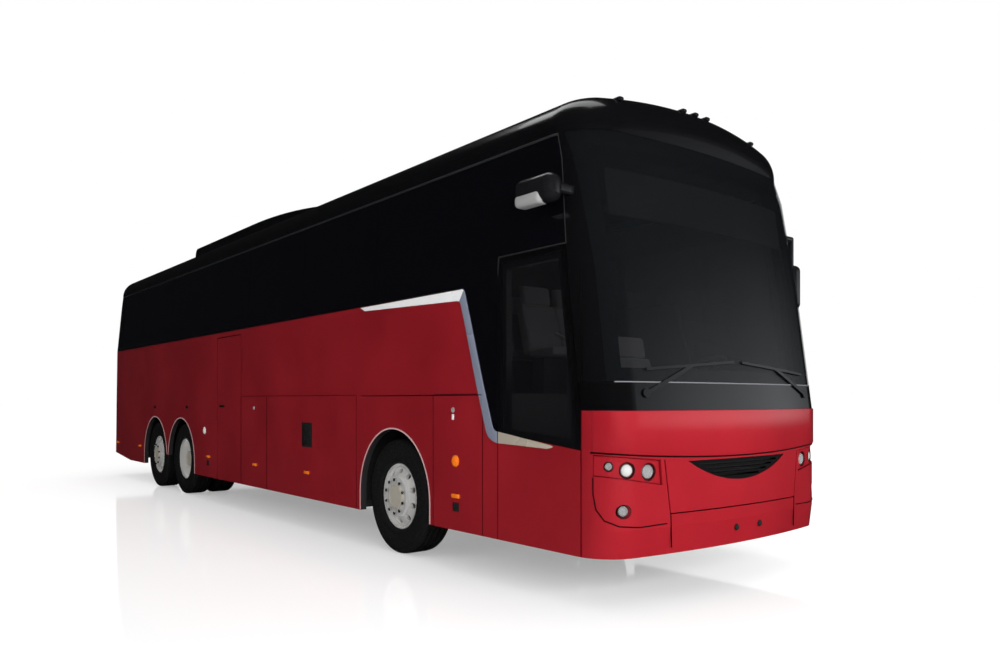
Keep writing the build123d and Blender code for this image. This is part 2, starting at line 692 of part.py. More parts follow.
# Cabin floor: high deck, riser and low platform at the front, with wells at both doors
RISER_SETBACK = 9.0
RISER_X = FRONT_AXLE_X + SERVICE_REAR - RISER_SETBACK
PLATFORM_FRONT_X = FRONT_X - FRONT_BULGE - WALL
STAIR_TREADS = 4
STAIR_RUN = 230.0
MID_WELL = (FRONT_AXLE_X + MID_REAR, FRONT_AXLE_X + MID_FRONT)
ENTRY_WELL = (FRONT_AXLE_X + ENTRY_REAR, DOOR_FRONT_X)
ENTRY_WELL_Y = -HALF + WALL + 2 * STEP_RUN
with BuildPart() as cabin_floor:
    with BuildSketch(Plane.XZ):
        with BuildLine():
            Polyline(
                (REAR_X, DECK_Z - DECK_T),
                (RISER_X, DECK_Z - DECK_T),
                (RISER_X, PLATFORM_Z - PLATFORM_T),
                (PLATFORM_FRONT_X, PLATFORM_Z - PLATFORM_T),
                (PLATFORM_FRONT_X, PLATFORM_Z),
                (RISER_X + DECK_T, PLATFORM_Z),
                (RISER_X + DECK_T, DECK_Z),
                (REAR_X, DECK_Z),
                close=True,
            )
        make_face()
    extrude(amount=HALF, both=True)
    add(INNER, mode=Mode.INTERSECT)
    add(
        box_block(ENTRY_WELL, (-HALF, ENTRY_WELL_Y), (0.0, DECK_Z)),
        mode=Mode.SUBTRACT,
    )
    add(
        box_block(MID_WELL, (-HALF, -HALF + WALL + STAIR_TREADS * STAIR_RUN), (0.0, 2 * DECK_Z)),
        mode=Mode.SUBTRACT,
    )
save(cabin_floor.part, "cabin_floor")

# Entry steps, hung from the platform's edge
with BuildPart() as entry_steps:
    for index, step_z in enumerate(STEP_Z):
        last = index + 1 == len(STEP_Z)
        outer_y = -HALF + WALL + SEAL + index * STEP_RUN
        inner_y = outer_y + STEP_RUN - (0.0 if last else SEAL)
        riser_top = PLATFORM_Z - PLATFORM_T if last else STEP_Z[index + 1]
        step_x = (ENTRY_WELL[0] + SEAL, ENTRY_WELL[1] - SEAL)
        add(box_block(step_x, (outer_y, inner_y), (step_z - DECK_T, step_z)))
        add(box_block(step_x, (inner_y, inner_y + DECK_T), (step_z - DECK_T, riser_top)))
save(entry_steps.part, "entry_steps")

# Underbody between the axles: bay floor, bulkheads and the middle stairs
BELLY_GAP = 90.0
BELLY_REAR_X = DRIVE_X + REAR_ARCH_R + BELLY_GAP
BELLY_FRONT_X = FRONT_AXLE_X + BAY_FRONT
DOOR_SIDE_Y = -HALF + WALL + SEAL
with BuildPart() as underbody:
    with BuildSketch(Plane.XY.offset(BAY_FLOOR_Z - BAY_FLOOR_T)):
        with Locations(((BELLY_REAR_X + BELLY_FRONT_X) / 2, 0)):
            Rectangle(BELLY_FRONT_X - BELLY_REAR_X, 2 * (HALF - WALL - SEAL))
    extrude(amount=BAY_FLOOR_T)
    for plate_x in (
        BELLY_REAR_X,
        MID_WELL[0] - BULKHEAD_T,
        MID_WELL[1],
        FRONT_AXLE_X + BAY_SPLIT - BULKHEAD_T / 2,
        BELLY_FRONT_X - BULKHEAD_T,
    ):
        with BuildSketch(Plane.XY.offset(BAY_FLOOR_Z - BAY_FLOOR_T)):
            with Locations((plate_x + BULKHEAD_T / 2, 0)):
                Rectangle(BULKHEAD_T, 2 * (HALF - WALL - SEAL))
        extrude(amount=DECK_Z - DECK_T - BAY_FLOOR_Z + BAY_FLOOR_T)
    rise = (DECK_Z - BAY_FLOOR_Z) / (STAIR_TREADS + 1)
    for index in range(STAIR_TREADS):
        tread_z = BAY_FLOOR_Z + (index + 1) * rise
        with BuildSketch(Plane.XY.offset(BAY_FLOOR_Z)):
            with Locations(((MID_WELL[0] + MID_WELL[1]) / 2, DOOR_SIDE_Y + (index + 0.5) * STAIR_RUN)):
                Rectangle(MID_WELL[1] - MID_WELL[0], STAIR_RUN)
        extrude(amount=tread_z - BAY_FLOOR_Z)
save(underbody.part, "underbody")

# Wheel housings behind the arches: rounded tubs open below and towards the middle
TUB_T = 10.0
TUB_GAP = 30.0
TUB_CORNER = 180.0
TUB_TOP_Z = 1180.0
TUB_FOOT_Z = 420.0
TUB_INNER_Y = 545.0
# Tubs: rear end, front end
TUBS = (
    (FRONT_AXLE_X - FRONT_ARCH_R - TUB_GAP, FRONT_AXLE_X + FRONT_ARCH_R + TUB_GAP),
    (TAG_X - REAR_ARCH_R - TUB_GAP, DRIVE_X + REAR_ARCH_R + TUB_GAP),
)
with BuildPart() as wheel_housings:
    for side_name, side in SIDES:
        for rear, front in TUBS:
            with BuildSketch(Plane.XZ.offset(-side * TUB_INNER_Y)) as tub:
                with BuildLine():
                    FilletPolyline(
                        (rear, TUB_FOOT_Z), (rear, TUB_TOP_Z), (front, TUB_TOP_Z), (front, TUB_FOOT_Z),
                        radius=TUB_CORNER,
                    )
                trace(line_width=TUB_T)
            extrude(amount=-side * (HALF - WALL - TUB_INNER_Y))
save(wheel_housings.part, "wheel_housings")

# Chassis rails: a low pair in front, a high pair behind with jacking pads, each pair with cross members
RAIL_W = 70.0
RAIL_H = 150.0
RAIL_Y = 435.0
FRONT_RAIL_Z = PLATFORM_Z - PLATFORM_T - RAIL_H
REAR_RAIL_Z = 760.0
RAIL_NOSE = 330.0
RAIL_TAIL = 260.0
CROSS_D = 90.0
CROSS_BEHIND_AXLE = 420.0
CROSS_AHEAD_AXLE = 520.0
CROSS_NOSE = 700.0
CROSS_AHEAD_DRIVE = 450.0
JACK_SETBACK = 1190.0
JACK_LENGTH = 120.0
JACK_W = 50.0
JACK_T = 20.0
FRONT_CROSSES = (FRONT_AXLE_X - CROSS_BEHIND_AXLE, FRONT_AXLE_X + CROSS_AHEAD_AXLE, FRONT_X - CROSS_NOSE)
REAR_CROSSES = (DRIVE_X + CROSS_AHEAD_DRIVE, (DRIVE_X + TAG_X) / 2)
# Rail pairs: rear end, front end, underside height, cross member places
RAIL_PAIRS = (
    (BELLY_FRONT_X, FRONT_X - RAIL_NOSE, FRONT_RAIL_Z, FRONT_CROSSES),
    (REAR_X + RAIL_TAIL, BELLY_REAR_X, REAR_RAIL_Z, REAR_CROSSES),
)
with BuildPart() as chassis_rails:
    for rear, front, rail_z, crosses in RAIL_PAIRS:
        with BuildSketch(Plane.XY.offset(rail_z)):
            with Locations(((rear + front) / 2, RAIL_Y), ((rear + front) / 2, -RAIL_Y)):
                Rectangle(front - rear, RAIL_W)
            for cross_x in crosses:
                with Locations((cross_x, 0)):
                    Rectangle(CROSS_D, 2 * RAIL_Y)
        extrude(amount=RAIL_H)
    with BuildSketch(Plane.XY.offset(REAR_RAIL_Z - JACK_T)):
        with Locations((TAG_X - JACK_SETBACK, RAIL_Y), (TAG_X - JACK_SETBACK, -RAIL_Y)):
            Rectangle(JACK_LENGTH, JACK_W)
    extrude(amount=JACK_T)
save(chassis_rails.part, "chassis_rails")

# Axles
SPRING_R = 105.0
SEAT_T = 15.0
BEAM_W = 90.0
BEAM_H = 80.0
BEAM_TOP_Z = AXLE_Z + BEAM_H / 2
EYE_OUTER_R = 48.0
EYE_H = 130.0
FORK_T = 32.0
FORK_GAP = 2.0
ARM_REACH = 230.0
TIE_R = 18.0
TIE_EYE_RIM = 10.0
TIE_EYE_H = 42.0
HUB_BACK_Y = WHEEL_Y - RIM_W / 2
STUB_LENGTH = 120.0
CHEEK_GAP = 5.0
HUB_GAP = 8.0
BELLOWS_R = 100.0
HOUSING_R = 88.0
BOWL_R = 215.0
TAG_TUBE_R = 72.0
TWIN_BACK_Y = WHEEL_Y - TWIN_SPACING - RIM_W / 2
with BuildPart() as front_axle:
    with BuildSketch(Plane.XY.offset(BEAM_TOP_Z - BEAM_H)):
        with Locations((FRONT_AXLE_X, 0)):
            Rectangle(BEAM_W, 2 * KINGPIN_Y)
    extrude(amount=BEAM_H)
    for side_name, side in SIDES:
        with BuildSketch(Plane.XY.offset(AXLE_Z - EYE_H / 2)):
            with Locations((FRONT_AXLE_X, side * KINGPIN_Y)):
                Circle(EYE_OUTER_R)
        extrude(amount=EYE_H)
        with BuildSketch(Plane.XY.offset(BEAM_TOP_Z)):
            with Locations((FRONT_AXLE_X, side * RAIL_Y)):
                Rectangle(2 * SPRING_R, 2 * SPRING_R)
        extrude(amount=SEAT_T)
    for side_name, side in SIDES:
        with BuildSketch(Plane.XY):
            with Locations((FRONT_AXLE_X, side * KINGPIN_Y)):
                Circle(KINGPIN_R + PIN_FIT)
        extrude(amount=2 * AXLE_Z, mode=Mode.SUBTRACT)
save(front_axle.part, "front_axle")

FORK_TOP_Z = AXLE_Z + EYE_H / 2 + FORK_GAP
FORK_FOOT_Z = AXLE_Z - EYE_H / 2 - FORK_GAP
CHEEK_Y = KINGPIN_Y + EYE_OUTER_R + CHEEK_GAP
CHEEK_T = HUB_BACK_Y - CHEEK_Y - HUB_GAP
TIE_Z = FORK_FOOT_Z - FORK_T - FORK_GAP - TIE_EYE_H / 2
for side_name, side in SIDES:
    with BuildPart() as knuckle:
        with BuildSketch(Plane.XY.offset(FORK_FOOT_Z - FORK_T)):
            with Locations((FRONT_AXLE_X, side * KINGPIN_Y)):
                Circle(KINGPIN_R)
        extrude(amount=FORK_TOP_Z - FORK_FOOT_Z + 2 * FORK_T)
        for lug_z in (FORK_FOOT_Z - FORK_T, FORK_TOP_Z):
            with BuildSketch(Plane.XY.offset(lug_z)):
                with Locations((FRONT_AXLE_X, side * KINGPIN_Y)):
                    Circle(EYE_OUTER_R)
                with Locations((FRONT_AXLE_X, side * (KINGPIN_Y + CHEEK_Y + CHEEK_T) / 2)):
                    Rectangle(2 * EYE_OUTER_R, CHEEK_Y + CHEEK_T - KINGPIN_Y)
            extrude(amount=FORK_T)
        with BuildSketch(Plane.XY.offset(FORK_FOOT_Z - FORK_T)):
            with Locations((FRONT_AXLE_X, side * (CHEEK_Y + CHEEK_T / 2))):
                Rectangle(2 * EYE_OUTER_R, CHEEK_T)
        extrude(amount=FORK_TOP_Z - FORK_FOOT_Z + 2 * FORK_T)
        with BuildSketch(Plane.XZ.offset(-side * CHEEK_Y)):
            with Locations((FRONT_AXLE_X, AXLE_Z)):
                Circle(STUB_R)
        extrude(amount=-side * (HUB_BACK_Y - CHEEK_Y + STUB_LENGTH))
        with BuildSketch(Plane.XY.offset(FORK_FOOT_Z - FORK_T)):
            with BuildLine():
                Line(
                    (FRONT_AXLE_X, side * KINGPIN_Y),
                    (FRONT_AXLE_X - ARM_REACH, side * KINGPIN_Y),
                )
            trace(line_width=2 * (TIE_R + TIE_EYE_RIM))
            with Locations((FRONT_AXLE_X - ARM_REACH, side * KINGPIN_Y)):
                Circle(TIE_R + TIE_EYE_RIM)
        extrude(amount=FORK_T)
        with BuildSketch(Plane.XY.offset(TIE_Z - TIE_EYE_H / 2)):
            with Locations((FRONT_AXLE_X - ARM_REACH, side * KINGPIN_Y)):
                Circle(HANG_PIN_R)
        extrude(amount=TIE_EYE_H + 2 * FORK_GAP)
    save(knuckle.part, f"knuckle_{side_name}")

with BuildPart() as tie_rod:
    with BuildSketch(Plane.XZ):
        with Locations((FRONT_AXLE_X - ARM_REACH, TIE_Z)):
            Circle(TIE_R)
    extrude(amount=KINGPIN_Y, both=True)
    for side_name, side in SIDES:
        with BuildSketch(Plane.XY.offset(TIE_Z - TIE_EYE_H / 2)):
            with Locations((FRONT_AXLE_X - ARM_REACH, side * KINGPIN_Y)):
                Circle(TIE_R + TIE_EYE_RIM)
        extrude(amount=TIE_EYE_H)
    for side_name, side in SIDES:
        with BuildSketch(Plane.XY.offset(TIE_Z - TIE_EYE_H / 2)):
            with Locations((FRONT_AXLE_X - ARM_REACH, side * KINGPIN_Y)):
                Circle(HANG_PIN_R + PIN_FIT)
        extrude(amount=TIE_EYE_H, mode=Mode.SUBTRACT)
save(tie_rod.part, "tie_rod")

# Engine and gearbox places, which the propeller shaft reaches back to
ENGINE_TAIL = 330.0
ENGINE_LENGTH = 1250.0
GEARBOX_LENGTH = 600.0
ENGINE_REAR_X = REAR_X + ENGINE_TAIL
GEARBOX_FRONT_X = ENGINE_REAR_X + ENGINE_LENGTH + GEARBOX_LENGTH
SHAFT_R = 45.0
SHAFT_RISE = 128.0

# Solid axles: name, x, tube radius, bowl radius, where the hub's back face is
SOLID_AXLES = (
    ("drive_axle", DRIVE_X, HOUSING_R, BOWL_R, TWIN_BACK_Y),
    ("tag_axle", TAG_X, TAG_TUBE_R, 0.0, HUB_BACK_Y),
)
for axle_name, axle_x, tube_r, bowl_r, back_y in SOLID_AXLES:
    with BuildPart() as axle:
        with BuildSketch(Plane.XZ):
            with Locations((axle_x, AXLE_Z)):
                Circle(tube_r)
        extrude(amount=back_y - HUB_GAP, both=True)
        with BuildSketch(Plane.XZ):
            with Locations((axle_x, AXLE_Z)):
                Circle(STUB_R)
        extrude(amount=back_y + STUB_LENGTH, both=True)
        if bowl_r:
            with Locations((axle_x, 0, AXLE_Z)):
                Sphere(bowl_r)
            with BuildSketch(Plane.YZ.offset(axle_x)):
                with Locations((0, AXLE_Z + SHAFT_RISE)):
                    Circle(SHAFT_R)
            extrude(amount=GEARBOX_FRONT_X - axle_x)
        with BuildSketch(Plane.XY.offset(AXLE_Z)):
            with Locations((axle_x, RAIL_Y), (axle_x, -RAIL_Y)):
                Rectangle(2 * SPRING_R, 2 * SPRING_R)
        extrude(amount=HOUSING_R + SEAT_T)
    save(axle.part, axle_name)

# Air springs between the axles' seats and the rails
with BuildPart() as air_springs:
    for axle_x, foot_z, top_z in (
        (FRONT_AXLE_X, BEAM_TOP_Z + SEAT_T, FRONT_RAIL_Z),
        (DRIVE_X, AXLE_Z + HOUSING_R + SEAT_T, REAR_RAIL_Z),
        (TAG_X, AXLE_Z + HOUSING_R + SEAT_T, REAR_RAIL_Z),
    ):
        with BuildSketch(Plane.XY.offset(foot_z)):
            with Locations((axle_x, RAIL_Y), (axle_x, -RAIL_Y)):
                Circle(BELLOWS_R)
        extrude(amount=top_z - foot_z)
save(air_springs.part, "air_springs")

# Engine and gearbox, one plain mass carried between the rear rails
ENGINE_HALF = RAIL_Y - RAIL_W / 2
ENGINE_Z = (470.0, 1250.0)
GEARBOX_HALF = 230.0
with BuildPart() as engine:
    with BuildSketch(Plane.XY.offset(ENGINE_Z[0])):
        with Locations((ENGINE_REAR_X + ENGINE_LENGTH / 2, 0)):
            Rectangle(ENGINE_LENGTH, 2 * ENGINE_HALF)
    extrude(amount=ENGINE_Z[1] - ENGINE_Z[0])
    with BuildSketch(Plane.YZ.offset(ENGINE_REAR_X + ENGINE_LENGTH)):
        with Locations((0, AXLE_Z + BOWL_R)):
            Circle(GEARBOX_HALF)
    extrude(amount=GEARBOX_LENGTH)
save(engine.part, "engine")

# Wheels: dished discs with hand holes, and tyres as many-sided rings
TYRE_SIDES = 60
TYRE_BULGE_R = 425.0
TREAD_W = 250.0
LIP_R = 274.0
DISC_R = 246.0
HAND_HOLES = 10
HAND_HOLE_R = 27.0
HAND_HOLE_PCD_R = 200.0
HAND_HOLE_DEPTH = 30.0
HUB_R = 130.0
HUB_TAPER = 20.0
# Wheels: name, x, depth of the disc behind the rim's lip, reach of the hub past the disc, twin
WHEELS = (
    ("front", FRONT_AXLE_X, 62.0, 60.0, False),
    ("drive", DRIVE_X, 150.0, 110.0, True),
    ("tag", TAG_X, 62.0, 60.0, False),
)


def tyre_face(x, y, radius):
    """Many-sided upright face across a wheel, standing on a flat."""
    with BuildSketch(Plane.XZ.offset(-y)) as face:
        with Locations((x, AXLE_Z)):
            RegularPolygon(radius, TYRE_SIDES, major_radius=False, rotation=180.0 / TYRE_SIDES)
    return face.sketch


def tyre_ring(x, y):
    """Tyre with sloped shoulders round the rim's bore."""
    shoulder = (TYRE_W - TREAD_W) / 2
    slope = degrees(atan((TYRE_R - TYRE_BULGE_R) / shoulder))
    with BuildPart() as ring:
        extrude(tyre_face(x, y, TYRE_R), amount=TREAD_W / 2, both=True)
        for sign in (-1, 1):
            extrude(tyre_face(x, y + sign * TREAD_W / 2, TYRE_R), amount=-sign * shoulder, taper=slope)
        extrude(tyre_face(x, y, RIM_R), amount=TYRE_W, both=True, mode=Mode.SUBTRACT)
    return ring.part


for wheel_name, wheel_x, dish, hub_reach, twin in WHEELS:
    for side_name, side in SIDES:
        middle = Plane((wheel_x, side * WHEEL_Y, AXLE_Z), x_dir=(0, side, 0), z_dir=(1, 0, 0))
        lip = RIM_W / 2
        back = -lip - (TWIN_SPACING if twin else 0.0)
        rim_r = RIM_R - RUN_FIT
        with BuildPart() as rim:
            with BuildSketch(middle):
                with BuildLine():
                    Polyline(
                        (back, 0), (back, rim_r), (lip, rim_r), (lip, LIP_R), (lip - dish, DISC_R),
                        (lip - dish, HUB_R), (lip - dish + hub_reach, HUB_R - HUB_TAPER), (lip - dish + hub_reach, 0),
                        close=True,
                    )
                make_face()
            revolve(axis=Axis((wheel_x, 0, AXLE_Z), (0, 1, 0)))
            with BuildSketch(Plane.XZ.offset(-side * (WHEEL_Y + lip - dish))):
                with Locations((wheel_x, AXLE_Z)):
                    with PolarLocations(HAND_HOLE_PCD_R, HAND_HOLES):
                        Circle(HAND_HOLE_R)
            extrude(amount=side * HAND_HOLE_DEPTH, mode=Mode.SUBTRACT)
            with BuildSketch(Plane.XZ.offset(-side * (WHEEL_Y + back))):
                with Locations((wheel_x, AXLE_Z)):
                    Circle(STUB_R + RUN_FIT)
            extrude(amount=-side * (STUB_LENGTH + HUB_GAP), mode=Mode.SUBTRACT)
        save(rim.part, f"{wheel_name}_rim_{side_name}")
        with BuildPart() as tyre:
            for shift in ((0.0, -TWIN_SPACING) if twin else (0.0,)):
                add(tyre_ring(wheel_x, side * (WHEEL_Y + shift)))
        save(tyre.part, f"{wheel_name}_tyre_{side_name}")

# Mirrors: a rounded pod over the entry door, and a head that hangs at the driver's window
MIRROR_REACH = 195.0
NECK_SETBACK = 490.0
NECK_W = 65.0
NECK_H = 60.0
POD_LENGTH = 440.0
POD_HEIGHT = 250.0
POD_DEPTH = 170.0
POD_ROUND = 70.0
POD_Z = 2815.0
HEAD_LENGTH = 190.0
HEAD_HEIGHT = 400.0
HEAD_DEPTH = 150.0
HEAD_ROUND = 45.0
HEAD_Z = 2390.0
MIRROR_FACE_Y = HALF + MIRROR_REACH
NECK_X = FRONT_X - NECK_SETBACK - NECK_W / 2
with BuildPart() as mirrors:
    with BuildSketch(Plane.XZ.offset(MIRROR_FACE_Y - POD_DEPTH)):
        with Locations((NECK_X + NECK_W / 2 - POD_LENGTH / 2, POD_Z)):
            RectangleRounded(POD_LENGTH, POD_HEIGHT, POD_ROUND)
    extrude(amount=POD_DEPTH)
    fillet(mirrors.faces().sort_by(Axis.Y)[0].edges(), POD_ROUND / 2)
    with BuildSketch(Plane.XZ.offset(-MIRROR_FACE_Y)):
        with Locations((NECK_X, HEAD_Z)):
            RectangleRounded(HEAD_LENGTH, HEAD_HEIGHT, HEAD_ROUND)
        with Locations((NECK_X, (HEAD_Z + POD_Z) / 2)):
            Rectangle(NECK_H, POD_Z + NECK_H / 2 - HEAD_Z)
    extrude(amount=HEAD_DEPTH)
    fillet(mirrors.faces().sort_by(Axis.Y)[-1].edges(), HEAD_ROUND / 2)
    with BuildSketch(Plane.XZ):
        with Locations((NECK_X, POD_Z)):
            Rectangle(NECK_W, NECK_H)
    extrude(amount=MIRROR_FACE_Y - POD_DEPTH / 2, both=True)
    add(OUTER, mode=Mode.SUBTRACT)
save(mirrors.part, "mirrors")

# Wipers: spindles on the mask, arms and blades that follow the bow of the screen
WIPER_GAP = 5.0
WIPER_T = 9.0
WIPER_PIVOT = (945.0, 1430.0)
WIPER_ELBOW = (500.0, 1625.0)
WIPER_TIPS = ((930.0, 1590.0), (50.0, 1660.0))
WIPER_ARM_W = 26.0
WIPER_BLADE_W = 20.0
WIPER_SPINDLE_R = 30.0
WIPER_LAYER = skin(zone(hull(-WIPER_GAP - WIPER_T), FRONT_REGION, 0), hull(-WIPER_GAP, WALL))
with BuildPart() as wipers:
    for side_name, side in SIDES:
        with BuildSketch(Plane.YZ):
            with BuildLine():
                Line((side * WIPER_PIVOT[0], WIPER_PIVOT[1]), (side * WIPER_ELBOW[0], WIPER_ELBOW[1]))
            trace(line_width=WIPER_ARM_W)
            with Locations((side * WIPER_PIVOT[0], WIPER_PIVOT[1])):
                Circle(WIPER_SPINDLE_R)
        extrude(amount=FAR)
        with BuildSketch(Plane.YZ):
            with BuildLine():
                Line(*((side * y, z) for y, z in WIPER_TIPS))
            trace(line_width=WIPER_BLADE_W)
        extrude(amount=FAR)
    add(WIPER_LAYER, mode=Mode.INTERSECT)
    for side_name, side in SIDES:
        with BuildSketch(Plane.YZ):
            with Locations((side * WIPER_PIVOT[0], WIPER_PIVOT[1])):
                Circle(WIPER_SPINDLE_R / 2)
        extrude(until=Until.LAST, target=WIPER_LAYER)
    add(OUTER, mode=Mode.SUBTRACT)
save(wipers.part, "wipers")

# Dashboard with the instrument hump and the steering column
DASH_REAR = 700.0
DASH_TOP_Z = 1480.0
DASH_LIP_Z = 1330.0
DASH_KNEE = 110.0
HUMP_R = 270.0
HUMP_Z = 1320.0
HUMP_LENGTH = 300.0
DRIVER_Y = 650.0
STEER_X = FRONT_AXLE_X + 1960.0
STEER_Z = 1650.0
STEER_TILT = 28.0
STEER_R = 225.0
STEER_GRIP = 26.0
STEER_HUB_R = 60.0
STEER_SHAFT_R = 24.0
COLUMN_R = 45.0
COLUMN_GAP = 60.0
STEER_PLANE = Plane((STEER_X, DRIVER_Y, STEER_Z)).rotated((0, -STEER_TILT, 0))
DASH_REAR_X = FRONT_X - DASH_REAR
with BuildPart() as dashboard:
    with BuildSketch(Plane.XZ):
        with BuildLine():
            Polyline(
                (DASH_REAR_X + DASH_KNEE, PLATFORM_Z),
                (FRONT_X, PLATFORM_Z),
                (FRONT_X, DASH_TOP_Z),
                (DASH_REAR_X + DASH_KNEE, DASH_TOP_Z),
                (DASH_REAR_X, DASH_LIP_Z),
                close=True,
            )
        make_face()
    extrude(amount=-HALF)
    with BuildSketch(Plane.XZ):
        with BuildLine():
            Polyline(
                (DASH_REAR_X + DASH_KNEE, PLATFORM_Z),
                (FRONT_X, PLATFORM_Z),
                (FRONT_X, DASH_TOP_Z),
                (DASH_REAR_X + DASH_KNEE, DASH_TOP_Z),
                close=True,
            )
        make_face()
    extrude(amount=-ENTRY_WELL_Y - DECK_T)
    with BuildSketch(Plane.YZ.offset(DASH_REAR_X + DASH_KNEE / 2)):
        with Locations((DRIVER_Y, HUMP_Z)):
            Circle(HUMP_R)
    extrude(amount=HUMP_LENGTH)
    add(INNER, mode=Mode.INTERSECT)
    add(side_block(rect(0.0, FAR, 0.0, PLATFORM_Z), 0), mode=Mode.SUBTRACT)
    with BuildSketch(STEER_PLANE.offset(-COLUMN_GAP)):
        Circle(COLUMN_R)
    extrude(amount=-STEER_Z)
    add(side_block(rect(0.0, FAR, -FAR, PLATFORM_Z), 0), mode=Mode.SUBTRACT)
    with BuildSketch(STEER_PLANE.offset(-COLUMN_GAP)):
        Circle(STEER_SHAFT_R + PIN_FIT)
    extrude(amount=-2 * COLUMN_GAP, mode=Mode.SUBTRACT)
save(dashboard.part, "dashboard")

SPOKES = 3
SPOKE_W = 40.0
with BuildPart() as steering_wheel:
    with BuildSketch(STEER_PLANE):
        Circle(STEER_R)
        Circle(STEER_R - STEER_GRIP, mode=Mode.SUBTRACT)
        Circle(STEER_HUB_R)
        with PolarLocations((STEER_R - STEER_GRIP / 2) / 2, SPOKES):
            Rectangle(STEER_R - STEER_GRIP / 2, SPOKE_W)
    extrude(amount=STEER_GRIP / 2, both=True)
    with BuildSketch(STEER_PLANE):
        Circle(STEER_SHAFT_R)
    extrude(amount=-2 * COLUMN_GAP)
save(steering_wheel.part, "steering_wheel")

# Seats, as side profiles: forward from the seat's back corner, up from the floor
DRIVER_SEAT = (
    (60.0, 0.0), (420.0, 0.0), (420.0, 370.0), (520.0, 390.0), (530.0, 490.0), (130.0, 470.0),
    (30.0, 1180.0), (-80.0, 1180.0), (0.0, 400.0), (60.0, 370.0),
)
PASSENGER_SEAT = (
    (120.0, 0.0), (330.0, 0.0), (330.0, 370.0), (470.0, 390.0), (480.0, 480.0), (130.0, 460.0),
    (-40.0, 1130.0), (-150.0, 1130.0), (0.0, 400.0), (120.0, 370.0),
)
DRIVER_SEAT_X = FRONT_AXLE_X + 1130.0
DRIVER_SEAT_W = 500.0
SEAT_PAIR_W = 900.0
AISLE_HALF = 260.0
ROW_PITCH = 830.0
ROW_COUNT = 12
FRONT_ROW_X = FRONT_AXLE_X - 60.0


def seat_face(profile, x, y, floor_z):
    """Upright face of a seat's side profile, with its corner at x and its inner side at y."""
    with BuildSketch(Plane.XZ.offset(-y)) as face:
        with BuildLine():
            Polyline(*((x + ahead, floor_z + up) for ahead, up in profile), close=True)
        make_face()
    return face.sketch


with BuildPart() as driver_seat:
    seat_side = seat_face(DRIVER_SEAT, DRIVER_SEAT_X, DRIVER_Y - DRIVER_SEAT_W / 2, PLATFORM_Z)
    extrude(seat_side, amount=-DRIVER_SEAT_W)
save(driver_seat.part, "driver_seat")

with BuildPart() as passenger_seats:
    for side_name, side in SIDES:
        for row in range(ROW_COUNT):
            row_x = FRONT_ROW_X - row * ROW_PITCH
            if side < 0 and MID_WELL[0] - ROW_PITCH / 2 < row_x < MID_WELL[1] + ROW_PITCH / 4:
                continue
            seat_side = seat_face(PASSENGER_SEAT, row_x, side * AISLE_HALF, DECK_Z)
            extrude(seat_side, amount=-side * SEAT_PAIR_W)
save(passenger_seats.part, "passenger_seats")
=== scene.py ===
"""Looks of a three-axle touring coach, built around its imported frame.

Metres. +X is forward, +Y is the driver's side and +Z is up. The origin is on the ground
under the coach's middle.
"""
import json
import logging
import math
from dataclasses import dataclass, field
from enum import Enum
from itertools import pairwise
from typing import Callable, Sequence

import bpy
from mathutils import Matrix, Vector


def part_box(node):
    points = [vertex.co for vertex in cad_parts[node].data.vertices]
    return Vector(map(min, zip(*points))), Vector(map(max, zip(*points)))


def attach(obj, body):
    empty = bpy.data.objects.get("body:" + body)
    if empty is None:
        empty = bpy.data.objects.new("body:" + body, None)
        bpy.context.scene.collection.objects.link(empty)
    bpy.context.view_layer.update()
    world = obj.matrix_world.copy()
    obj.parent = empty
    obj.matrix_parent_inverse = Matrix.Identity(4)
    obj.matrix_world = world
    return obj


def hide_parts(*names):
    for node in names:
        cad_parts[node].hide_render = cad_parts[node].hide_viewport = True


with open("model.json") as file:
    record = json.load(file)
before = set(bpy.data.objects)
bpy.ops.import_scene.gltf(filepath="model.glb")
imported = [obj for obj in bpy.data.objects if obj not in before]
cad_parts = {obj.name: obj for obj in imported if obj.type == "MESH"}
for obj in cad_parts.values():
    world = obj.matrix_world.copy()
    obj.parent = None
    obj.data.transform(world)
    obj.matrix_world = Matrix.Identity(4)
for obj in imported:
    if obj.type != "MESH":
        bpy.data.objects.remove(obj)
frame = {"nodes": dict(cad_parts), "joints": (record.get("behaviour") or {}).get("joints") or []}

LOG = logging.getLogger("coach")
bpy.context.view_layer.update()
BODY = "coach_body"
Point = Sequence[float]
HalfPlane = tuple[float, float, float]
Outline = Sequence[tuple[float, float]]
Places = list[tuple[float, float, float]]
Span = tuple[float, float]
Colour = tuple[float, float, float]
FORWARD = (1.0, 0.0, 0.0)
UP = (0.0, 0.0, 1.0)
DOWN = (0.0, 0.0, -1.0)
ALONG_Y = (math.pi / 2, 0.0, 0.0)
WELD = 0.00001
RED = (0.33, 0.008, 0.016)
BLACK = (0.0025, 0.0025, 0.003)
# Dark lining colour for inner faces, also painted shade on the side walls' reveals
LINING_AND_REVEAL_SHADE = (0.03, 0.03, 0.032)


def joint_place(name: str) -> Vector:
    """Return the place of a joint of the frame."""
    return Vector(next(joint["pos_m"] for joint in frame["joints"] if joint["name"] == name))


FRONT_AXLE = joint_place("front_wheel_right_spin").x
DRIVE_AXLE = joint_place("drive_wheel_right_spin").x
TAG_AXLE = joint_place("tag_wheel_right_spin").x
AXLE_Z = joint_place("front_wheel_right_spin").z
WHEEL_Y = joint_place("front_wheel_left_spin").y
SIDE_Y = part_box("left_wall")[1].y
SKIRT_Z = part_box("right_wall")[0].z
NOSE_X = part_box("front_mask")[1].x
DECK_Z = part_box("cabin_floor")[1].z
# Heights of the belt, the top of the nose band and the seam under the belt panel
BELT_Z = 2.262
BAND_TOP_Z = 1.312
SEAM_Z = 1.4203


class Side(Enum):
    """A side of the coach, valued by its direction along Y."""

    RIGHT = -1
    LEFT = 1

    @property
    def word(self) -> str:
        """Name of the side in lower case."""
        return self.name.lower()

    @property
    def outward(self) -> Vector:
        """Direction out of the coach."""
        return Vector((0.0, self.value, 0.0))


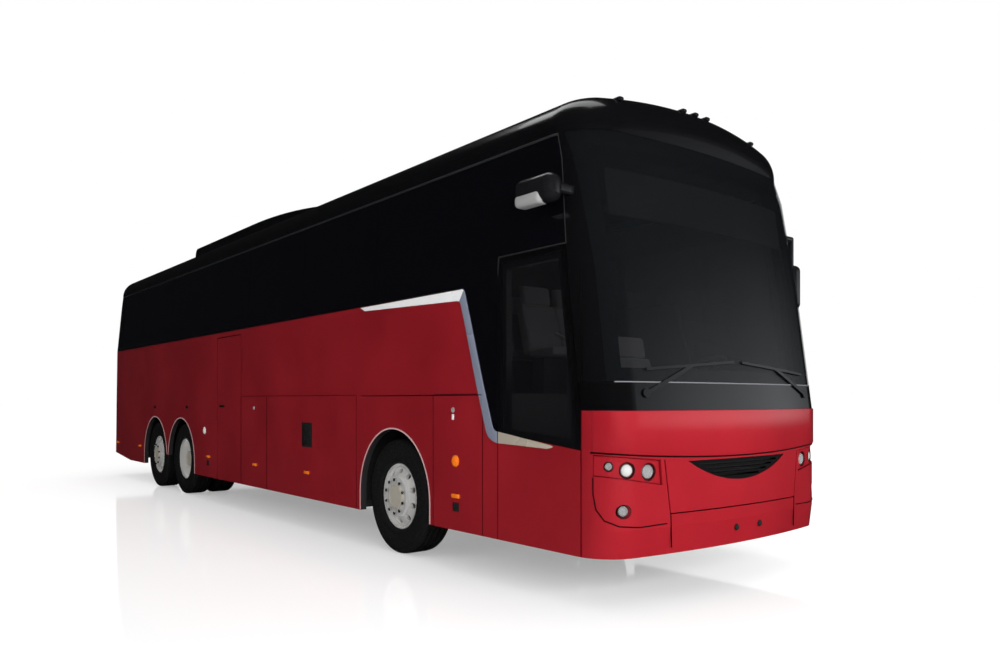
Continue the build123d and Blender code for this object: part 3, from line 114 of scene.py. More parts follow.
class Grain(Enum):
    """How a finish breaks up its surface."""

    SMOOTH = "smooth"
    FLAKE = "flake"
    CAST = "cast"
    WOVEN = "woven"
    RIBBED = "ribbed"


# Darkest and brightest shade, waves per metre and strength of the bump
GRAINS = {
    Grain.SMOOTH: (0.96, 1.03, 1.7, 0.0),
    Grain.FLAKE: (0.86, 1.12, 1.3, 0.0),
    Grain.CAST: (0.7, 1.3, 60.0, 0.25),
    Grain.WOVEN: (0.65, 1.35, 260.0, 0.3),
    Grain.RIBBED: (0.8, 1.2, 45.0, 0.15),
}
NOISE_DETAIL = 4.0
NOISE_SPAN = (0.3, 0.7)
BUMP_FINENESS = 3.0
BUMP_DEPTH = 0.002
FLAKES_PER_METRE = 900.0
FLAKE_POWER = 3.0
FLAKE_SHARE = 0.5
COAT_ROUGHNESS = 0.03


@dataclass(frozen=True)
class Nose:
    """Outer face of the coach's front: a wide bow with round corners that leans back above its band."""

    bow: float = 6.365
    corner: float = 0.29
    rake: float = 0.1387

    def x(self, y: float, z: float = 1.0, out: float = 0.0) -> float:
        """Return how far forward the face lies.

        Args:
            y: Place across the coach.
            z: Height, below the top of the screen.
            out: Distance out from the face, along X.

        Returns:
            The place along X.
        """
        across = abs(y)
        middle = SIDE_Y - self.corner
        hub = NOSE_X - self.bow
        if across <= middle * self.bow / (self.bow - self.corner):
            ahead = hub + math.sqrt(self.bow**2 - across**2)
        else:
            ahead = hub + math.sqrt((self.bow - self.corner) ** 2 - middle**2)
            ahead += math.sqrt(max(0.0, self.corner**2 - (across - middle) ** 2))
        return ahead - self.rake * max(0.0, z - BAND_TOP_Z) + out

    def lean(self, y: float) -> float:
        """Return the angle by which the face has turned to the side at a place across."""
        middle = SIDE_Y - self.corner
        if abs(y) <= middle * self.bow / (self.bow - self.corner):
            return math.asin(y / self.bow)
        return math.copysign(math.asin(min(1.0, (abs(y) - middle) / self.corner)), y)

    def chain(self, low: float, high: float, z: float, out: float, count: int = 24) -> Places:
        """Return points along the face from one y to another, at one height and stand-off."""
        spots = [low + (high - low) * index / (count - 1) for index in range(count)]
        return [(self.x(y, z, out), y, z) for y in spots]


NOSE = Nose()


class Sockets:
    """Short ways to add nodes to one material and link them."""

    def __init__(self, material: bpy.types.Material) -> None:
        """Turn the material's nodes on and keep its shader.

        Args:
            material: The material to build.
        """
        material.use_nodes = True
        self.tree = material.node_tree
        self.shader = self.tree.nodes["Principled BSDF"]
        self.place = self.add("ShaderNodeTexCoord").outputs["Object"]

    def add(self, kind: str, **settings: object) -> bpy.types.Node:
        """Add a node and set its properties.

        Args:
            kind: The node's type.
            settings: Property values.

        Returns:
            The node.
        """
        node = self.tree.nodes.new(kind)
        for key, value in settings.items():
            setattr(node, key, value)
        return node

    def feed(self, node: bpy.types.Node, **inputs: object) -> bpy.types.Node:
        """Give a node's inputs values or links by their names, with underscores for spaces.

        Args:
            node: The node.
            inputs: Values, or sockets to link from.

        Returns:
            The node.
        """
        for key, value in inputs.items():
            self.give(node.inputs[key.replace("_", " ")], value)
        return node

    def give(self, socket: bpy.types.NodeSocket, value: object) -> None:
        """Link an input to a socket, or set its value."""
        if isinstance(value, bpy.types.NodeSocket):
            self.tree.links.new(value, socket)
        else:
            socket.default_value = value

    def maths(self, operation: str, first: object, second: object) -> bpy.types.NodeSocket:
        """Return the output of a maths node on two values or sockets."""
        node = self.add("ShaderNodeMath", operation=operation)
        self.give(node.inputs[0], first)
        self.give(node.inputs[1], second)
        return node.outputs[0]

    def noise(self, scale: float) -> bpy.types.NodeSocket:
        """Return noise on the object's own coordinates, with a scale in waves per metre."""
        noise = self.add("ShaderNodeTexNoise")
        self.feed(noise, Vector=self.place, Scale=scale, Detail=NOISE_DETAIL)
        return noise.outputs["Fac"]

    def spread(self, factor: bpy.types.NodeSocket, low: float, high: float) -> bpy.types.NodeSocket:
        """Return a factor spread between two values."""
        node = self.add("ShaderNodeMapRange")
        start, end = NOISE_SPAN
        self.feed(node, Value=factor, From_Min=start, From_Max=end, To_Min=low, To_Max=high)
        return node.outputs[0]

    def blend(self, factor: object, first: object, second: object) -> bpy.types.NodeSocket:
        """Return a mix of two colours or colour sockets."""
        node = self.add("ShaderNodeMix", data_type="RGBA")
        colours = [socket for socket in node.inputs if socket.type == "RGBA"]
        self.give(node.inputs["Factor"], factor)
        self.give(colours[0], first)
        self.give(colours[1], second)
        return next(socket for socket in node.outputs if socket.type == "RGBA")

    def bump(self, height: bpy.types.NodeSocket, strength: float) -> None:
        """Link a height to the shader as bump."""
        node = self.add("ShaderNodeBump")
        self.feed(node, Height=height, Strength=strength, Distance=BUMP_DEPTH)
        self.tree.links.new(node.outputs[0], self.shader.inputs["Normal"])

    def matt(self, colour: Colour, roughness: float) -> None:
        """Make the shader a plain matt colour."""
        self.feed(self.shader, Base_Color=(*colour, 1.0), Roughness=roughness, Specular_IOR_Level=0.0)

    def ramp(self, value: bpy.types.NodeSocket, span: Span, ends: Span = (0.0, 1.0)) -> bpy.types.NodeSocket:
        """Return a value that passes smoothly from one end to the other over a span."""
        node = self.add("ShaderNodeMapRange", interpolation_type="SMOOTHSTEP")
        self.feed(node, Value=value, From_Min=span[0], From_Max=span[1], To_Min=ends[0], To_Max=ends[1])
        return node.outputs[0]

    def mixture(self, factor: object, first: bpy.types.Node, second: bpy.types.Node) -> bpy.types.Node:
        """Return a mix of two shaders."""
        mixed = self.feed(self.add("ShaderNodeMixShader"), Fac=factor)
        self.tree.links.new(first.outputs[0], mixed.inputs[1])
        self.tree.links.new(second.outputs[0], mixed.inputs[2])
        return mixed

    def surface(self, node: bpy.types.Node) -> None:
        """Let a shader node be the material's surface."""
        self.tree.links.new(node.outputs[0], self.tree.nodes["Material Output"].inputs["Surface"])


@dataclass(frozen=True)
class Finish:
    """One surface finish: colour, gloss and the grain that breaks it up."""

    name: str
    colour: Colour
    roughness: float
    metallic: float = 0.0
    coat: float = 0.0
    specular: float = 0.5
    alpha: float = 1.0
    sheen: float = 0.0
    grain: Grain = Grain.SMOOTH
    second: Colour = BLACK
    regions: tuple[tuple[HalfPlane, ...], ...] = ()
    lining: float = 0.0

    def material(self) -> bpy.types.Material:
        """Return the finish's material, made once."""
        title = f"look_{self.name}"
        made = bpy.data.materials.get(title)
        if made:
            return made
        made = bpy.data.materials.new(title)
        nodes = Sockets(made)
        fixed = {
            "Metallic": self.metallic,
            "Coat Weight": self.coat,
            "Coat Roughness": COAT_ROUGHNESS,
            "Specular IOR Level": self.specular,
            "Alpha": self.alpha,
            "Sheen Weight": self.sheen,
        }
        for key, value in fixed.items():
            nodes.shader.inputs[key].default_value = value
        colour = self.tone(nodes)
        colour = self.split(nodes, colour)
        nodes.tree.links.new(colour, nodes.shader.inputs["Base Color"])
        return made

    def tone(self, nodes: Sockets) -> bpy.types.NodeSocket:
        """Build the grain and return the colour that it varies.

        Args:
            nodes: The material's nodes.

        Returns:
            The varied colour.
        """
        low, high, scale, bump = GRAINS[self.grain]
        factor = nodes.noise(scale)
        shade = nodes.spread(factor, low, high)
        bright = tuple(min(1.0, part * high) for part in self.colour)
        dark = tuple(part * low for part in self.colour)
        colour = nodes.blend(nodes.spread(factor, 0.0, 1.0), (*dark, 1.0), (*bright, 1.0))
        rough = nodes.maths("MULTIPLY", shade, self.roughness)
        nodes.tree.links.new(rough, nodes.shader.inputs["Roughness"])
        if bump:
            nodes.bump(nodes.noise(scale * BUMP_FINENESS), bump)
        if self.grain is Grain.FLAKE:
            cells = nodes.add("ShaderNodeTexVoronoi")
            nodes.feed(cells, Vector=nodes.place, Scale=FLAKES_PER_METRE)
            sparkle = nodes.maths("POWER", cells.outputs["Distance"], FLAKE_POWER)
            colour = nodes.blend(nodes.maths("MULTIPLY", sparkle, FLAKE_SHARE), colour, (*bright, 1.0))
        return colour

    def split(self, nodes: Sockets, colour: bpy.types.NodeSocket) -> bpy.types.NodeSocket:
        """Paint the second colour inside any of the regions, each a set of half planes in x and z.

        Args:
            nodes: The material's nodes.
            colour: The first colour.

        Returns:
            The two-tone colour.
        """
        if not self.regions:
            return colour
        parts = nodes.feed(nodes.add("ShaderNodeSeparateXYZ"), Vector=nodes.place)
        inside = None
        for region in self.regions:
            within = None
            for along_x, along_z, limit in region:
                sum_x = nodes.maths("MULTIPLY", parts.outputs["X"], along_x)
                sum_z = nodes.maths("MULTIPLY", parts.outputs["Z"], along_z)
                past = nodes.maths("GREATER_THAN", nodes.maths("ADD", sum_x, sum_z), limit)
                within = past if within is None else nodes.maths("MINIMUM", within, past)
            inside = within if inside is None else nodes.maths("MAXIMUM", inside, within)
        colour = nodes.blend(inside, colour, (*self.second, 1.0))
        # Faces nearer the middle take the lining colour: the real lining inside, and painted shade on the
        # reveals of the openings
        if self.lining:
            across = nodes.maths("ABSOLUTE", parts.outputs["Y"], 0.0)
            within = nodes.maths("LESS_THAN", across, self.lining)
            colour = nodes.blend(within, colour, (*LINING_AND_REVEAL_SHADE, 1.0))
        return colour


def fresh() -> None:
    """Leave nothing selected."""
    bpy.ops.object.select_all(action="DESELECT")


def activate(made: bpy.types.Object) -> None:
    """Make one object the only selected and active one."""
    fresh()
    made.select_set(True)
    bpy.context.view_layer.objects.active = made


def edit_all(made: bpy.types.Object) -> None:
    """Open an object for editing with everything selected."""
    activate(made)
    bpy.ops.object.mode_set(mode="EDIT")
    bpy.ops.mesh.select_all(action="SELECT")


def close_edit(recalculate: bool = True) -> None:
    """Leave edit mode, with the normals turned outward first where asked."""
    if recalculate:
        bpy.ops.mesh.select_all(action="SELECT")
        bpy.ops.mesh.normals_make_consistent(inside=False)
    bpy.ops.object.mode_set(mode="OBJECT")


def weld() -> None:
    """Merge the doubled points of the open mesh and leave edit mode."""
    bpy.ops.mesh.select_all(action="SELECT")
    bpy.ops.mesh.remove_doubles(threshold=WELD)
    close_edit()


def apply_modifier(made: bpy.types.Object, kind: str, **settings: object) -> bpy.types.Object:
    """Add a modifier with its settings and apply it.

    Args:
        made: The object.
        kind: The modifier's type.
        settings: Property values.

    Returns:
        The object.
    """
    activate(made)
    modifier = made.modifiers.new(kind.lower(), kind)
    for key, value in settings.items():
        setattr(modifier, key, value)
    bpy.ops.object.modifier_apply(modifier=modifier.name)
    return made


def soften(
    made: bpy.types.Object, width: float, segments: int = 2, angle: float = 30.0,
) -> bpy.types.Object:
    """Round an object's edges that are sharper than an angle in degrees."""
    return apply_modifier(
        made, "BEVEL", width=width, segments=segments, limit_method="ANGLE", angle_limit=math.radians(angle),
    )


def merge(pieces: Sequence[bpy.types.Object]) -> bpy.types.Object:
    """Join objects into the first of them."""
    fresh()
    for piece in pieces:
        piece.select_set(True)
    bpy.context.view_layer.objects.active = pieces[0]
    if len(pieces) > 1:
        bpy.ops.object.join()
    return pieces[0]


def outline(points: Sequence[Point], closed: bool = True) -> bpy.types.Object:
    """Draw a chain of points, filled where it is closed.

    Args:
        points: The corners, in order.
        closed: Whether the chain bounds a face.

    Returns:
        The object.
    """
    fresh()
    bpy.ops.mesh.primitive_plane_add(size=0.01)
    made = bpy.context.object
    edit_all(made)
    bpy.ops.mesh.merge(type="CENTER")
    bpy.ops.transform.translate(value=points[0])
    for start, end in pairwise(points):
        step = Vector(end) - Vector(start)
        bpy.ops.mesh.extrude_vertices_move(TRANSFORM_OT_translate={"value": step})
    bpy.ops.mesh.select_all(action="SELECT")
    if closed:
        bpy.ops.mesh.edge_face_add()
    close_edit(recalculate=False)
    return made


def panel(points: Sequence[Point], push: Point, round_off: float, segments: int) -> bpy.types.Object:
    """Draw a flat outline, extrude it and round its edges.

    Args:
        points: The outline's corners.
        push: The extrusion.
        round_off: Width of the rounding.
        segments: Facets of the rounding.

    Returns:
        The object.
    """
    made = outline(points)
    edit_all(made)
    bpy.ops.mesh.extrude_region_move(TRANSFORM_OT_translate={"value": push})
    close_edit()
    return soften(made, round_off, segments)


def ribbon(first: Sequence[Point], second: Sequence[Point], facing: Point, thick: float) -> bpy.types.Object:
    """Bridge two chains and give the sheet a thickness behind its face.

    Args:
        first: One edge.
        second: The other edge, with as many points.
        facing: The side that the face looks to.
        thick: The thickness.

    Returns:
        The object.
    """
    made = merge([outline(first, closed=False), outline(second, closed=False)])
    edit_all(made)
    bpy.ops.mesh.bridge_edge_loops()
    close_edit()
    total = sum((face.normal * face.area for face in made.data.polygons), Vector())
    if total.dot(Vector(facing)) < 0.0:
        edit_all(made)
        bpy.ops.mesh.flip_normals()
        close_edit(recalculate=False)
    apply_modifier(made, "SOLIDIFY", thickness=thick, offset=-1.0)
    edit_all(made)
    close_edit()
    return made


def block(centre: Point, size: Point, round_off: float, segments: int = 2) -> bpy.types.Object:
    """Return a rounded block about a centre."""
    fresh()
    bpy.ops.mesh.primitive_cube_add(size=1.0, location=centre, scale=size)
    made = bpy.context.object
    bpy.ops.object.transform_apply(location=True, rotation=True, scale=True)
    return soften(made, round_off, segments)


def spun(profile: Outline, hub: Point, outward: Point, up: Point, steps: int = 64) -> bpy.types.Object:
    """Spin a profile of radius and reach once round an axis.

    Args:
        profile: Pairs of radius and reach along the axis.
        hub: The point on the axis that reach is counted from.
        outward: The axis's direction.
        up: A direction square to the axis.
        steps: Facets round the axis.

    Returns:
        The object.
    """
    middle, axis, radial = Vector(hub), Vector(outward), Vector(up)
    made = outline([middle + axis * reach + radial * radius for radius, reach in profile], closed=False)
    edit_all(made)
    bpy.ops.mesh.spin(steps=steps, angle=2.0 * math.pi, center=middle, axis=axis)
    weld()
    return made


def ringed(made: bpy.types.Object, count: int, hub: Point, axis: Point) -> bpy.types.Object:
    """Repeat an object's mesh evenly round an axis."""
    edit_all(made)
    bpy.ops.mesh.spin(steps=count, angle=2.0 * math.pi, dupli=True, center=hub, axis=axis)
    weld()
    return made


def row(made: bpy.types.Object, count: int, step: Point) -> bpy.types.Object:
    """Repeat an object in a straight row."""
    return apply_modifier(
        made, "ARRAY", count=count, use_relative_offset=False, use_constant_offset=True,
        constant_offset_displace=step,
    )


def cylinder(radius: float, depth: float, place: Point, turn: Point, facets: int) -> bpy.types.Object:
    """Return a plain cylinder, to cut with or to work on.

    Args:
        radius: Its radius.
        depth: Its length.
        place: Its middle.
        turn: Its rotation from upright.
        facets: Facets round it.

    Returns:
        The object.
    """
    fresh()
    bpy.ops.mesh.primitive_cylinder_add(
        vertices=facets, radius=radius, depth=depth, location=place, rotation=turn,
    )
    bpy.ops.object.transform_apply(location=True, rotation=True, scale=True)
    return bpy.context.object


def tube(points: Sequence[Point], radius: float) -> bpy.types.Object:
    """Return a round tube along a chain of points."""
    made = outline(points, closed=False)
    activate(made)
    bpy.ops.object.convert(target="CURVE")
    made = bpy.context.object
    made.data.bevel_depth = radius
    made.data.bevel_resolution = 3
    made.data.use_fill_caps = True
    bpy.ops.object.convert(target="MESH")
    return bpy.context.object


def carve(
    made: bpy.types.Object, cutter: bpy.types.Object, operation: str = "DIFFERENCE",
) -> bpy.types.Object:
    """Cut one object out of another, or keep what they share, and remove the cutter."""
    apply_modifier(made, "BOOLEAN", object=cutter, operation=operation, solver="EXACT")
    activate(cutter)
    bpy.ops.object.delete()
    return made


def fit(
    made: bpy.types.Object, name: str, look: Finish, slot: str, body: str = BODY,
    replaced: Sequence[str] = (), angle: float = 35.0,
) -> bpy.types.Object:
    """Name a finished piece, give it its finish and let it ride a body.

    Args:
        made: The piece, in place.
        name: Its name.
        look: Its finish.
        slot: The record's slot that it would belong to; not used.
        body: The body that carries it.
        replaced: Nodes that it stands for.
        angle: Edges flatter than this, in degrees, are shaded smooth.

    Returns:
        The piece.
    """
    activate(made)
    bpy.ops.object.transform_apply(location=True, rotation=True, scale=True)
    bpy.ops.object.shade_smooth_by_angle(angle=math.radians(angle))
    made.name = name
    made.data.name = name
    made.data.materials.clear()
    made.data.materials.append(look.material())
    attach(made, body)
    if replaced:
        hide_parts(*replaced)
    LOG.info("%s: %d faces", name, len(made.data.polygons))
    return made


# The black glass dips beside the door along a slanted line, down to a sill
DIP_TOP = (FRONT_AXLE + 1.085, 2.25)
DIP_FOOT = (FRONT_AXLE + 1.468, 1.15)
DIP_RUN = (DIP_FOOT[0] - DIP_TOP[0]) / (DIP_TOP[1] - DIP_FOOT[1])
SILL = (FRONT_AXLE + 1.564, 1.135)
SILL_END = (FRONT_AXLE + 2.48, 1.045)
SILL_FALL = (SILL[1] - SILL_END[1]) / (SILL_END[0] - SILL[0])
ABOVE_BELT = ((0.0, 1.0, BELT_Z),)
PAST_DIP = (1.0, DIP_RUN, DIP_TOP[0] + DIP_RUN * DIP_TOP[1])
ABOVE_SILL = (SILL_FALL, 1.0, SILL[1] + SILL_FALL * SILL[0])
ABOVE_BAND = ((0.0, 1.0, BAND_TOP_Z),)
# The blade's painted reflection turns from bright to dark bluish across its bend
BEND = (FRONT_AXLE + 1.064, 2.169)
BEND_ACROSS = (0.092, -0.067)
PAST_BEND_PAINTED_REFLECTION = (*BEND_ACROSS, BEND_ACROSS[0] * BEND[0] + BEND_ACROSS[1] * BEND[1])
# Depth of the wall's outer skin that keeps its paint; deeper, the reveals take painted shade
SKIN = 0.004


def paint(name: str, *regions: tuple[HalfPlane, ...], lining: float = 0.0) -> Finish:
    """Return the coach's red paint, black inside the regions and the dark lining colour within a distance of
    the middle, which on the walls' reveals is painted shade.
    """
    return Finish(name, RED, 0.32, 0.3, 1.0, grain=Grain.FLAKE, regions=regions, lining=lining)


class Finishes:
    """The coach's finishes, named for what they cover."""

    RED_PAINT = paint("red_paint")
    SIDE_PAINT = paint("side_paint", ABOVE_BELT, (PAST_DIP, ABOVE_SILL), lining=SIDE_Y - SKIN)
    DOOR_PAINT = paint("door_paint", (ABOVE_SILL,))
    NOSE_PAINT = paint("nose_paint", ABOVE_BAND)
    TAIL_PAINT = paint("tail_paint", ABOVE_BELT)
    BLACK_PAINT = Finish("black_paint", BLACK, 0.2, 0.0, 0.3)
    BLACK_TRIM = Finish("black_trim", (0.006, 0.006, 0.007), 0.25, 0.0, 0.3)
    MATT_BLACK = Finish("matt_black", (0.012, 0.012, 0.012), 0.6, grain=Grain.CAST)
    FOOT_LINE = Finish("foot_line", (0.12, 0.12, 0.13), 0.3)
    GRILLE = Finish("grille_black", (0.002, 0.002, 0.002), 0.5)
    # Dark seams and joints, and the painted shadow line under the nose band
    SEAM = Finish("seam_shadow", (0.004, 0.001, 0.001), 0.6)
    SIDE_GLASS = Finish("side_glass", (0.002, 0.002, 0.003), 0.04, alpha=0.94)
    DOOR_GLASS = Finish("door_glass", (0.006, 0.006, 0.007), 0.03, alpha=0.4)
    SCREEN_GLASS = Finish("screen_glass", (0.006, 0.007, 0.008), 0.02, specular=0.7, alpha=0.4)
    LENS = Finish("lamp_lens", (0.5, 0.52, 0.53), 0.04, alpha=0.15)
    BOWL = Finish("lamp_bowl", (0.42, 0.42, 0.42), 0.14, 0.6)
    # Dark red inside the lamp wells: painted shade in the recesses round the lamps
    WELL = Finish("lamp_well", (0.05, 0.002, 0.003), 0.4, 0.0, 0.5)
    OPAL = Finish("lamp_opal", (0.42, 0.42, 0.41), 0.12, coat=0.8)
    CHROME = Finish("chrome", (0.78, 0.79, 0.8), 0.12, 1.0)
    SILVER = Finish("silver_paint", (0.5, 0.5, 0.5), 0.35, 0.5, 0.3)
    # The chrome blade wears painted reflections: bright on top, and a dark bluish painted reflection on its
    # slant past the bend
    BLADE = Finish(
        "blade_metal", (0.88, 0.88, 0.88), 0.28, 0.15, 0.4, second=(0.2, 0.22, 0.29),
        regions=((PAST_BEND_PAINTED_REFLECTION,),),
    )
    # Cream painted reflection on the blade's tip across the door
    BLADE_TIP = Finish("blade_tip_metal", (0.42, 0.37, 0.3), 0.28, 0.15, 0.4)
    ALLOY = Finish("wheel_alloy", (0.93, 0.92, 0.9), 0.18, 0.62)
    HUB = Finish("hub_cap", (0.46, 0.43, 0.36), 0.35, 0.3, 0.3)
    # Pale pink of the arch lips: a painted highlight on the arches' edges
    LIP = Finish("arch_lip", (0.5, 0.32, 0.32), 0.4)
    WHITE = Finish("white_enamel", (0.72, 0.72, 0.7), 0.3, coat=0.3)
    TYRE = Finish("tyre_rubber", (0.007, 0.007, 0.007), 0.7, grain=Grain.CAST)
    RUBBER = Finish("rubber", (0.015, 0.015, 0.015), 0.65, grain=Grain.CAST)
    CHASSIS = Finish("chassis_paint", (0.03, 0.03, 0.033), 0.5, grain=Grain.CAST)
    CAST_IRON = Finish("cast_iron", (0.04, 0.04, 0.042), 0.55, 0.4, grain=Grain.CAST)
    AMBER = Finish("amber_lens", (0.75, 0.16, 0.01), 0.12, coat=0.6)
    RED_LENS = Finish("red_lens", (0.4, 0.006, 0.008), 0.12, coat=0.6)
    DASH = Finish("dash_moulding", (0.02, 0.02, 0.022), 0.6, grain=Grain.CAST)
    CLOTH = Finish("seat_cloth", (0.12, 0.115, 0.125), 0.9, sheen=0.3, grain=Grain.WOVEN)
    FLOOR_COVER = Finish("floor_cover", (0.05, 0.05, 0.052), 0.7, grain=Grain.RIBBED)


AXLES = {"front": FRONT_AXLE, "drive": DRIVE_AXLE, "tag": TAG_AXLE}
NODE_FINISHES = {
    Finishes.RED_PAINT: (
        "engine_door", "front_flap", "mid_door", "luggage_flap_front_left", "luggage_flap_front_right",
        "luggage_flap_rear_left", "luggage_flap_rear_right", "service_flap_right",
    ),
    Finishes.SIDE_PAINT: ("left_wall", "right_wall"),
    Finishes.DOOR_PAINT: ("entry_door",),
    Finishes.NOSE_PAINT: ("front_mask",),
    Finishes.TAIL_PAINT: ("rear_wall",),
    Finishes.BLACK_PAINT: ("front_frame", "roof", "roof_fairing", "roof_hatch_front", "roof_hatch_rear"),
    Finishes.BLACK_TRIM: ("mirrors", "wipers"),
    Finishes.SIDE_GLASS: ("cabin_glass",),
    Finishes.DOOR_GLASS: ("entry_door_glass",),
    Finishes.SCREEN_GLASS: ("windscreen",),
    Finishes.LENS: ("headlamps",),
    Finishes.RED_LENS: ("rear_lamps",),
    Finishes.CHASSIS: ("chassis_rails", "entry_door_arm", "underbody"),
    Finishes.CAST_IRON: (
        "drive_axle", "front_axle", "tag_axle", "knuckle_left", "knuckle_right", "tie_rod", "engine",
    ),
    Finishes.ALLOY: tuple(f"{axle}_rim_{side.word}" for axle in AXLES for side in Side),
    Finishes.TYRE: tuple(f"{axle}_tyre_{side.word}" for axle in AXLES for side in Side),
    Finishes.RUBBER: ("air_springs",),
    Finishes.DASH: ("dashboard", "steering_wheel"),
    Finishes.CLOTH: ("driver_seat", "passenger_seats"),
    Finishes.FLOOR_COVER: ("cabin_floor", "entry_steps"),
    Finishes.GRILLE: ("front_grille",),
    Finishes.MATT_BLACK: ("wheel_housings",),
}


def dress_nodes() -> None:
    """Give every node of the frame its finish."""
    for finish, nodes in NODE_FINISHES.items():
        for node in nodes:
            mesh = frame["nodes"][node].data
            mesh.materials.clear()
            mesh.materials.append(finish.material())


SIDE_BODIES = {
    "luggage_flap_rear": "luggage_flap_rear",
    "luggage_flap_front": "luggage_flap_front",
    "service_flap": "service_flap",
    "entry_door": "entry_leaf",
    "mid_door": "mid_door",
}


def side_panels(side: Side) -> list[tuple[str, Vector, Vector]]:
    """Return the doors and flaps on a side, each as its body and the two corners of its box."""
    found = []
    for stem, body in SIDE_BODIES.items():
        sided = f"{stem}_{side.word}"
        if sided in frame["nodes"]:
            stem, body = sided, sided
        if stem not in frame["nodes"]:
            continue
        low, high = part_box(stem)
        if low.y * side.value > 0.0 and high.y * side.value > 0.0:
            found.append((body, low, high))
    return found


def carrier(x: float, z: float, side: Side) -> str:
    """Return the body whose panel lies at a place on a side of the coach.

    Args:
        x: Place along the coach.
        z: Height.
        side: The side.

    Returns:
        The body's name.
    """
    for body, low, high in side_panels(side):
        if low.x <= x <= high.x and low.z <= z <= high.z:
            return body
    return BODY


def side_points(corners: Outline, side: Side) -> Places:
    """Return places on a side wall from pairs of distance ahead of the front axle and height."""
    return [(FRONT_AXLE + ahead, side.value * SIDE_Y, z) for ahead, z in corners]


@dataclass
class Wheel:
    """One wheel: a spun rim with hand holes and nuts, a hub cap, and its grooved tyres.

    Profiles are pairs of radius and reach out from the middle of the outer tyre.
    """

    axle: str
    side: Side
    holes: int = 10
    hole_circle: float = 0.222
    hole_radius: float = 0.026
    hole_depth: float = 0.15
    hole_behind: float = 0.04
    nut_circle: float = 0.150
    nut_radius: float = 0.0165
    nut_depth: float = 0.026
    nut_seat: float = 0.011
    cap_rise: float = 0.012
    hub_rise: float = 0.09
    twin_spacing: float = 0.345
    grooves: tuple[float, ...] = (-0.078, -0.027, 0.027, 0.078)
    groove: Outline = ((0.515, -0.006), (0.503, -0.0045), (0.503, 0.0045), (0.515, 0.006))
    lip: Outline = ((0.2965, 0.108), (0.291, 0.115), (0.281, 0.115), (0.274, 0.106))
    dished_back: Outline = (
        (0.0, -0.32), (0.0475, -0.32), (0.0475, -0.405), (0.12, -0.405), (0.14, -0.084),
        (0.235, -0.064), (0.262, -0.094), (0.262, -0.45), (0.275, -0.46), (0.2965, -0.46),
    )
    dished_face: Outline = (
        (0.268, 0.085), (0.262, 0.04), (0.256, -0.024), (0.250, -0.032), (0.242, -0.034),
        (0.186, -0.028), (0.182, -0.018), (0.120, -0.016), (0.0, -0.016),
    )
    bulged_back: Outline = (
        (0.0, 0.03), (0.0475, 0.03), (0.0475, -0.06), (0.12, -0.06), (0.135, 0.095), (0.175, 0.10),
        (0.252, 0.06), (0.262, 0.02), (0.262, -0.105), (0.275, -0.115), (0.2965, -0.115),
    )
    bulged_face: Outline = (
        (0.268, 0.088), (0.258, 0.086), (0.248, 0.090), (0.192, 0.122), (0.186, 0.127),
        (0.182, 0.148), (0.178, 0.152), (0.125, 0.152), (0.0, 0.152),
    )
    wall: Outline = (
        (0.297, 0.112), (0.305, 0.124), (0.325, 0.131), (0.331, 0.137), (0.339, 0.137),
        (0.345, 0.136), (0.385, 0.146), (0.420, 0.148), (0.452, 0.145), (0.462, 0.1445),
        (0.466, 0.140), (0.488, 0.135), (0.503, 0.127), (0.511, 0.114),
    )

    @property
    def twin(self) -> bool:
        """Whether two tyres share the rim."""
        return self.axle == "drive"

    @property
    def face(self) -> Outline:
        """Front of the rim inside its lip, from the rim inward."""
        return self.dished_face if self.twin else self.bulged_face

    @property
    def flange(self) -> float:
        """Reach of the nut flange out from the tyre's middle."""
        return self.face[-1][1]

    @property
    def hub(self) -> Vector:
        """Middle of the outer tyre."""
        return Vector((AXLES[self.axle], self.side.value * WHEEL_Y, AXLE_Z))

    @property
    def body(self) -> str:
        """Body that the wheel rides."""
        return f"{self.axle}_wheel_{self.side.word}"

    def build(self) -> None:
        """Build the rim, its nuts, the hub cap and the tyres."""
        self.rim()
        self.nuts()
        self.cap()
        self.tyres()

    def spin(self, profile: Outline, steps: int = 64) -> bpy.types.Object:
        """Spin a profile round the wheel's axis."""
        return spun(profile, self.hub, self.side.outward, UP, steps)

    def above(self, circle: float, reach: float) -> Vector:
        """Return a place over the axle, on a circle round it."""
        return self.hub + self.side.outward * reach + Vector(UP) * circle

    def rim(self) -> None:
        """Spin the rim with its disc and cut the hand holes."""
        back = self.dished_back if self.twin else self.bulged_back
        made = self.spin([*back, *self.lip, *self.face])
        place = self.above(self.hole_circle, self.flange - self.hole_behind)
        cutter = cylinder(self.hole_radius, self.hole_depth, place, ALONG_Y, 24)
        carve(made, ringed(cutter, self.holes, self.hub, self.side.outward))
        node = f"{self.axle}_rim_{self.side.word}"
        fit(made, f"rim_{self.body}", Finishes.ALLOY, "wheel_alloy", self.body, (node,), 25.0)

    def nuts(self) -> None:
        """Set the ring of wheel nuts on the flange."""
        place = self.above(self.nut_circle, self.flange + self.nut_seat)
        nut = soften(cylinder(self.nut_radius, self.nut_depth, place, ALONG_Y, 6), 0.003)
        ringed(nut, self.holes, self.hub, self.side.outward)
        fit(nut, f"nuts_{self.body}", Finishes.CHROME, "wheel_alloy", self.body)

    def cap(self) -> None:
        """Spin the hub and its cap."""
        rise = self.hub_rise if self.twin else self.cap_rise
        profile = (
            (0.0, -0.002), (0.118, -0.002), (0.116, rise * 0.6), (0.108, rise), (0.100, rise + 0.001),
            (0.097, rise - 0.003), (0.05, rise - 0.002), (0.0, rise - 0.002),
        )
        made = self.spin([(radius, self.flange + reach) for radius, reach in profile], 40)
        fit(made, f"hub_{self.body}", Finishes.HUB, "wheel_alloy", self.body)

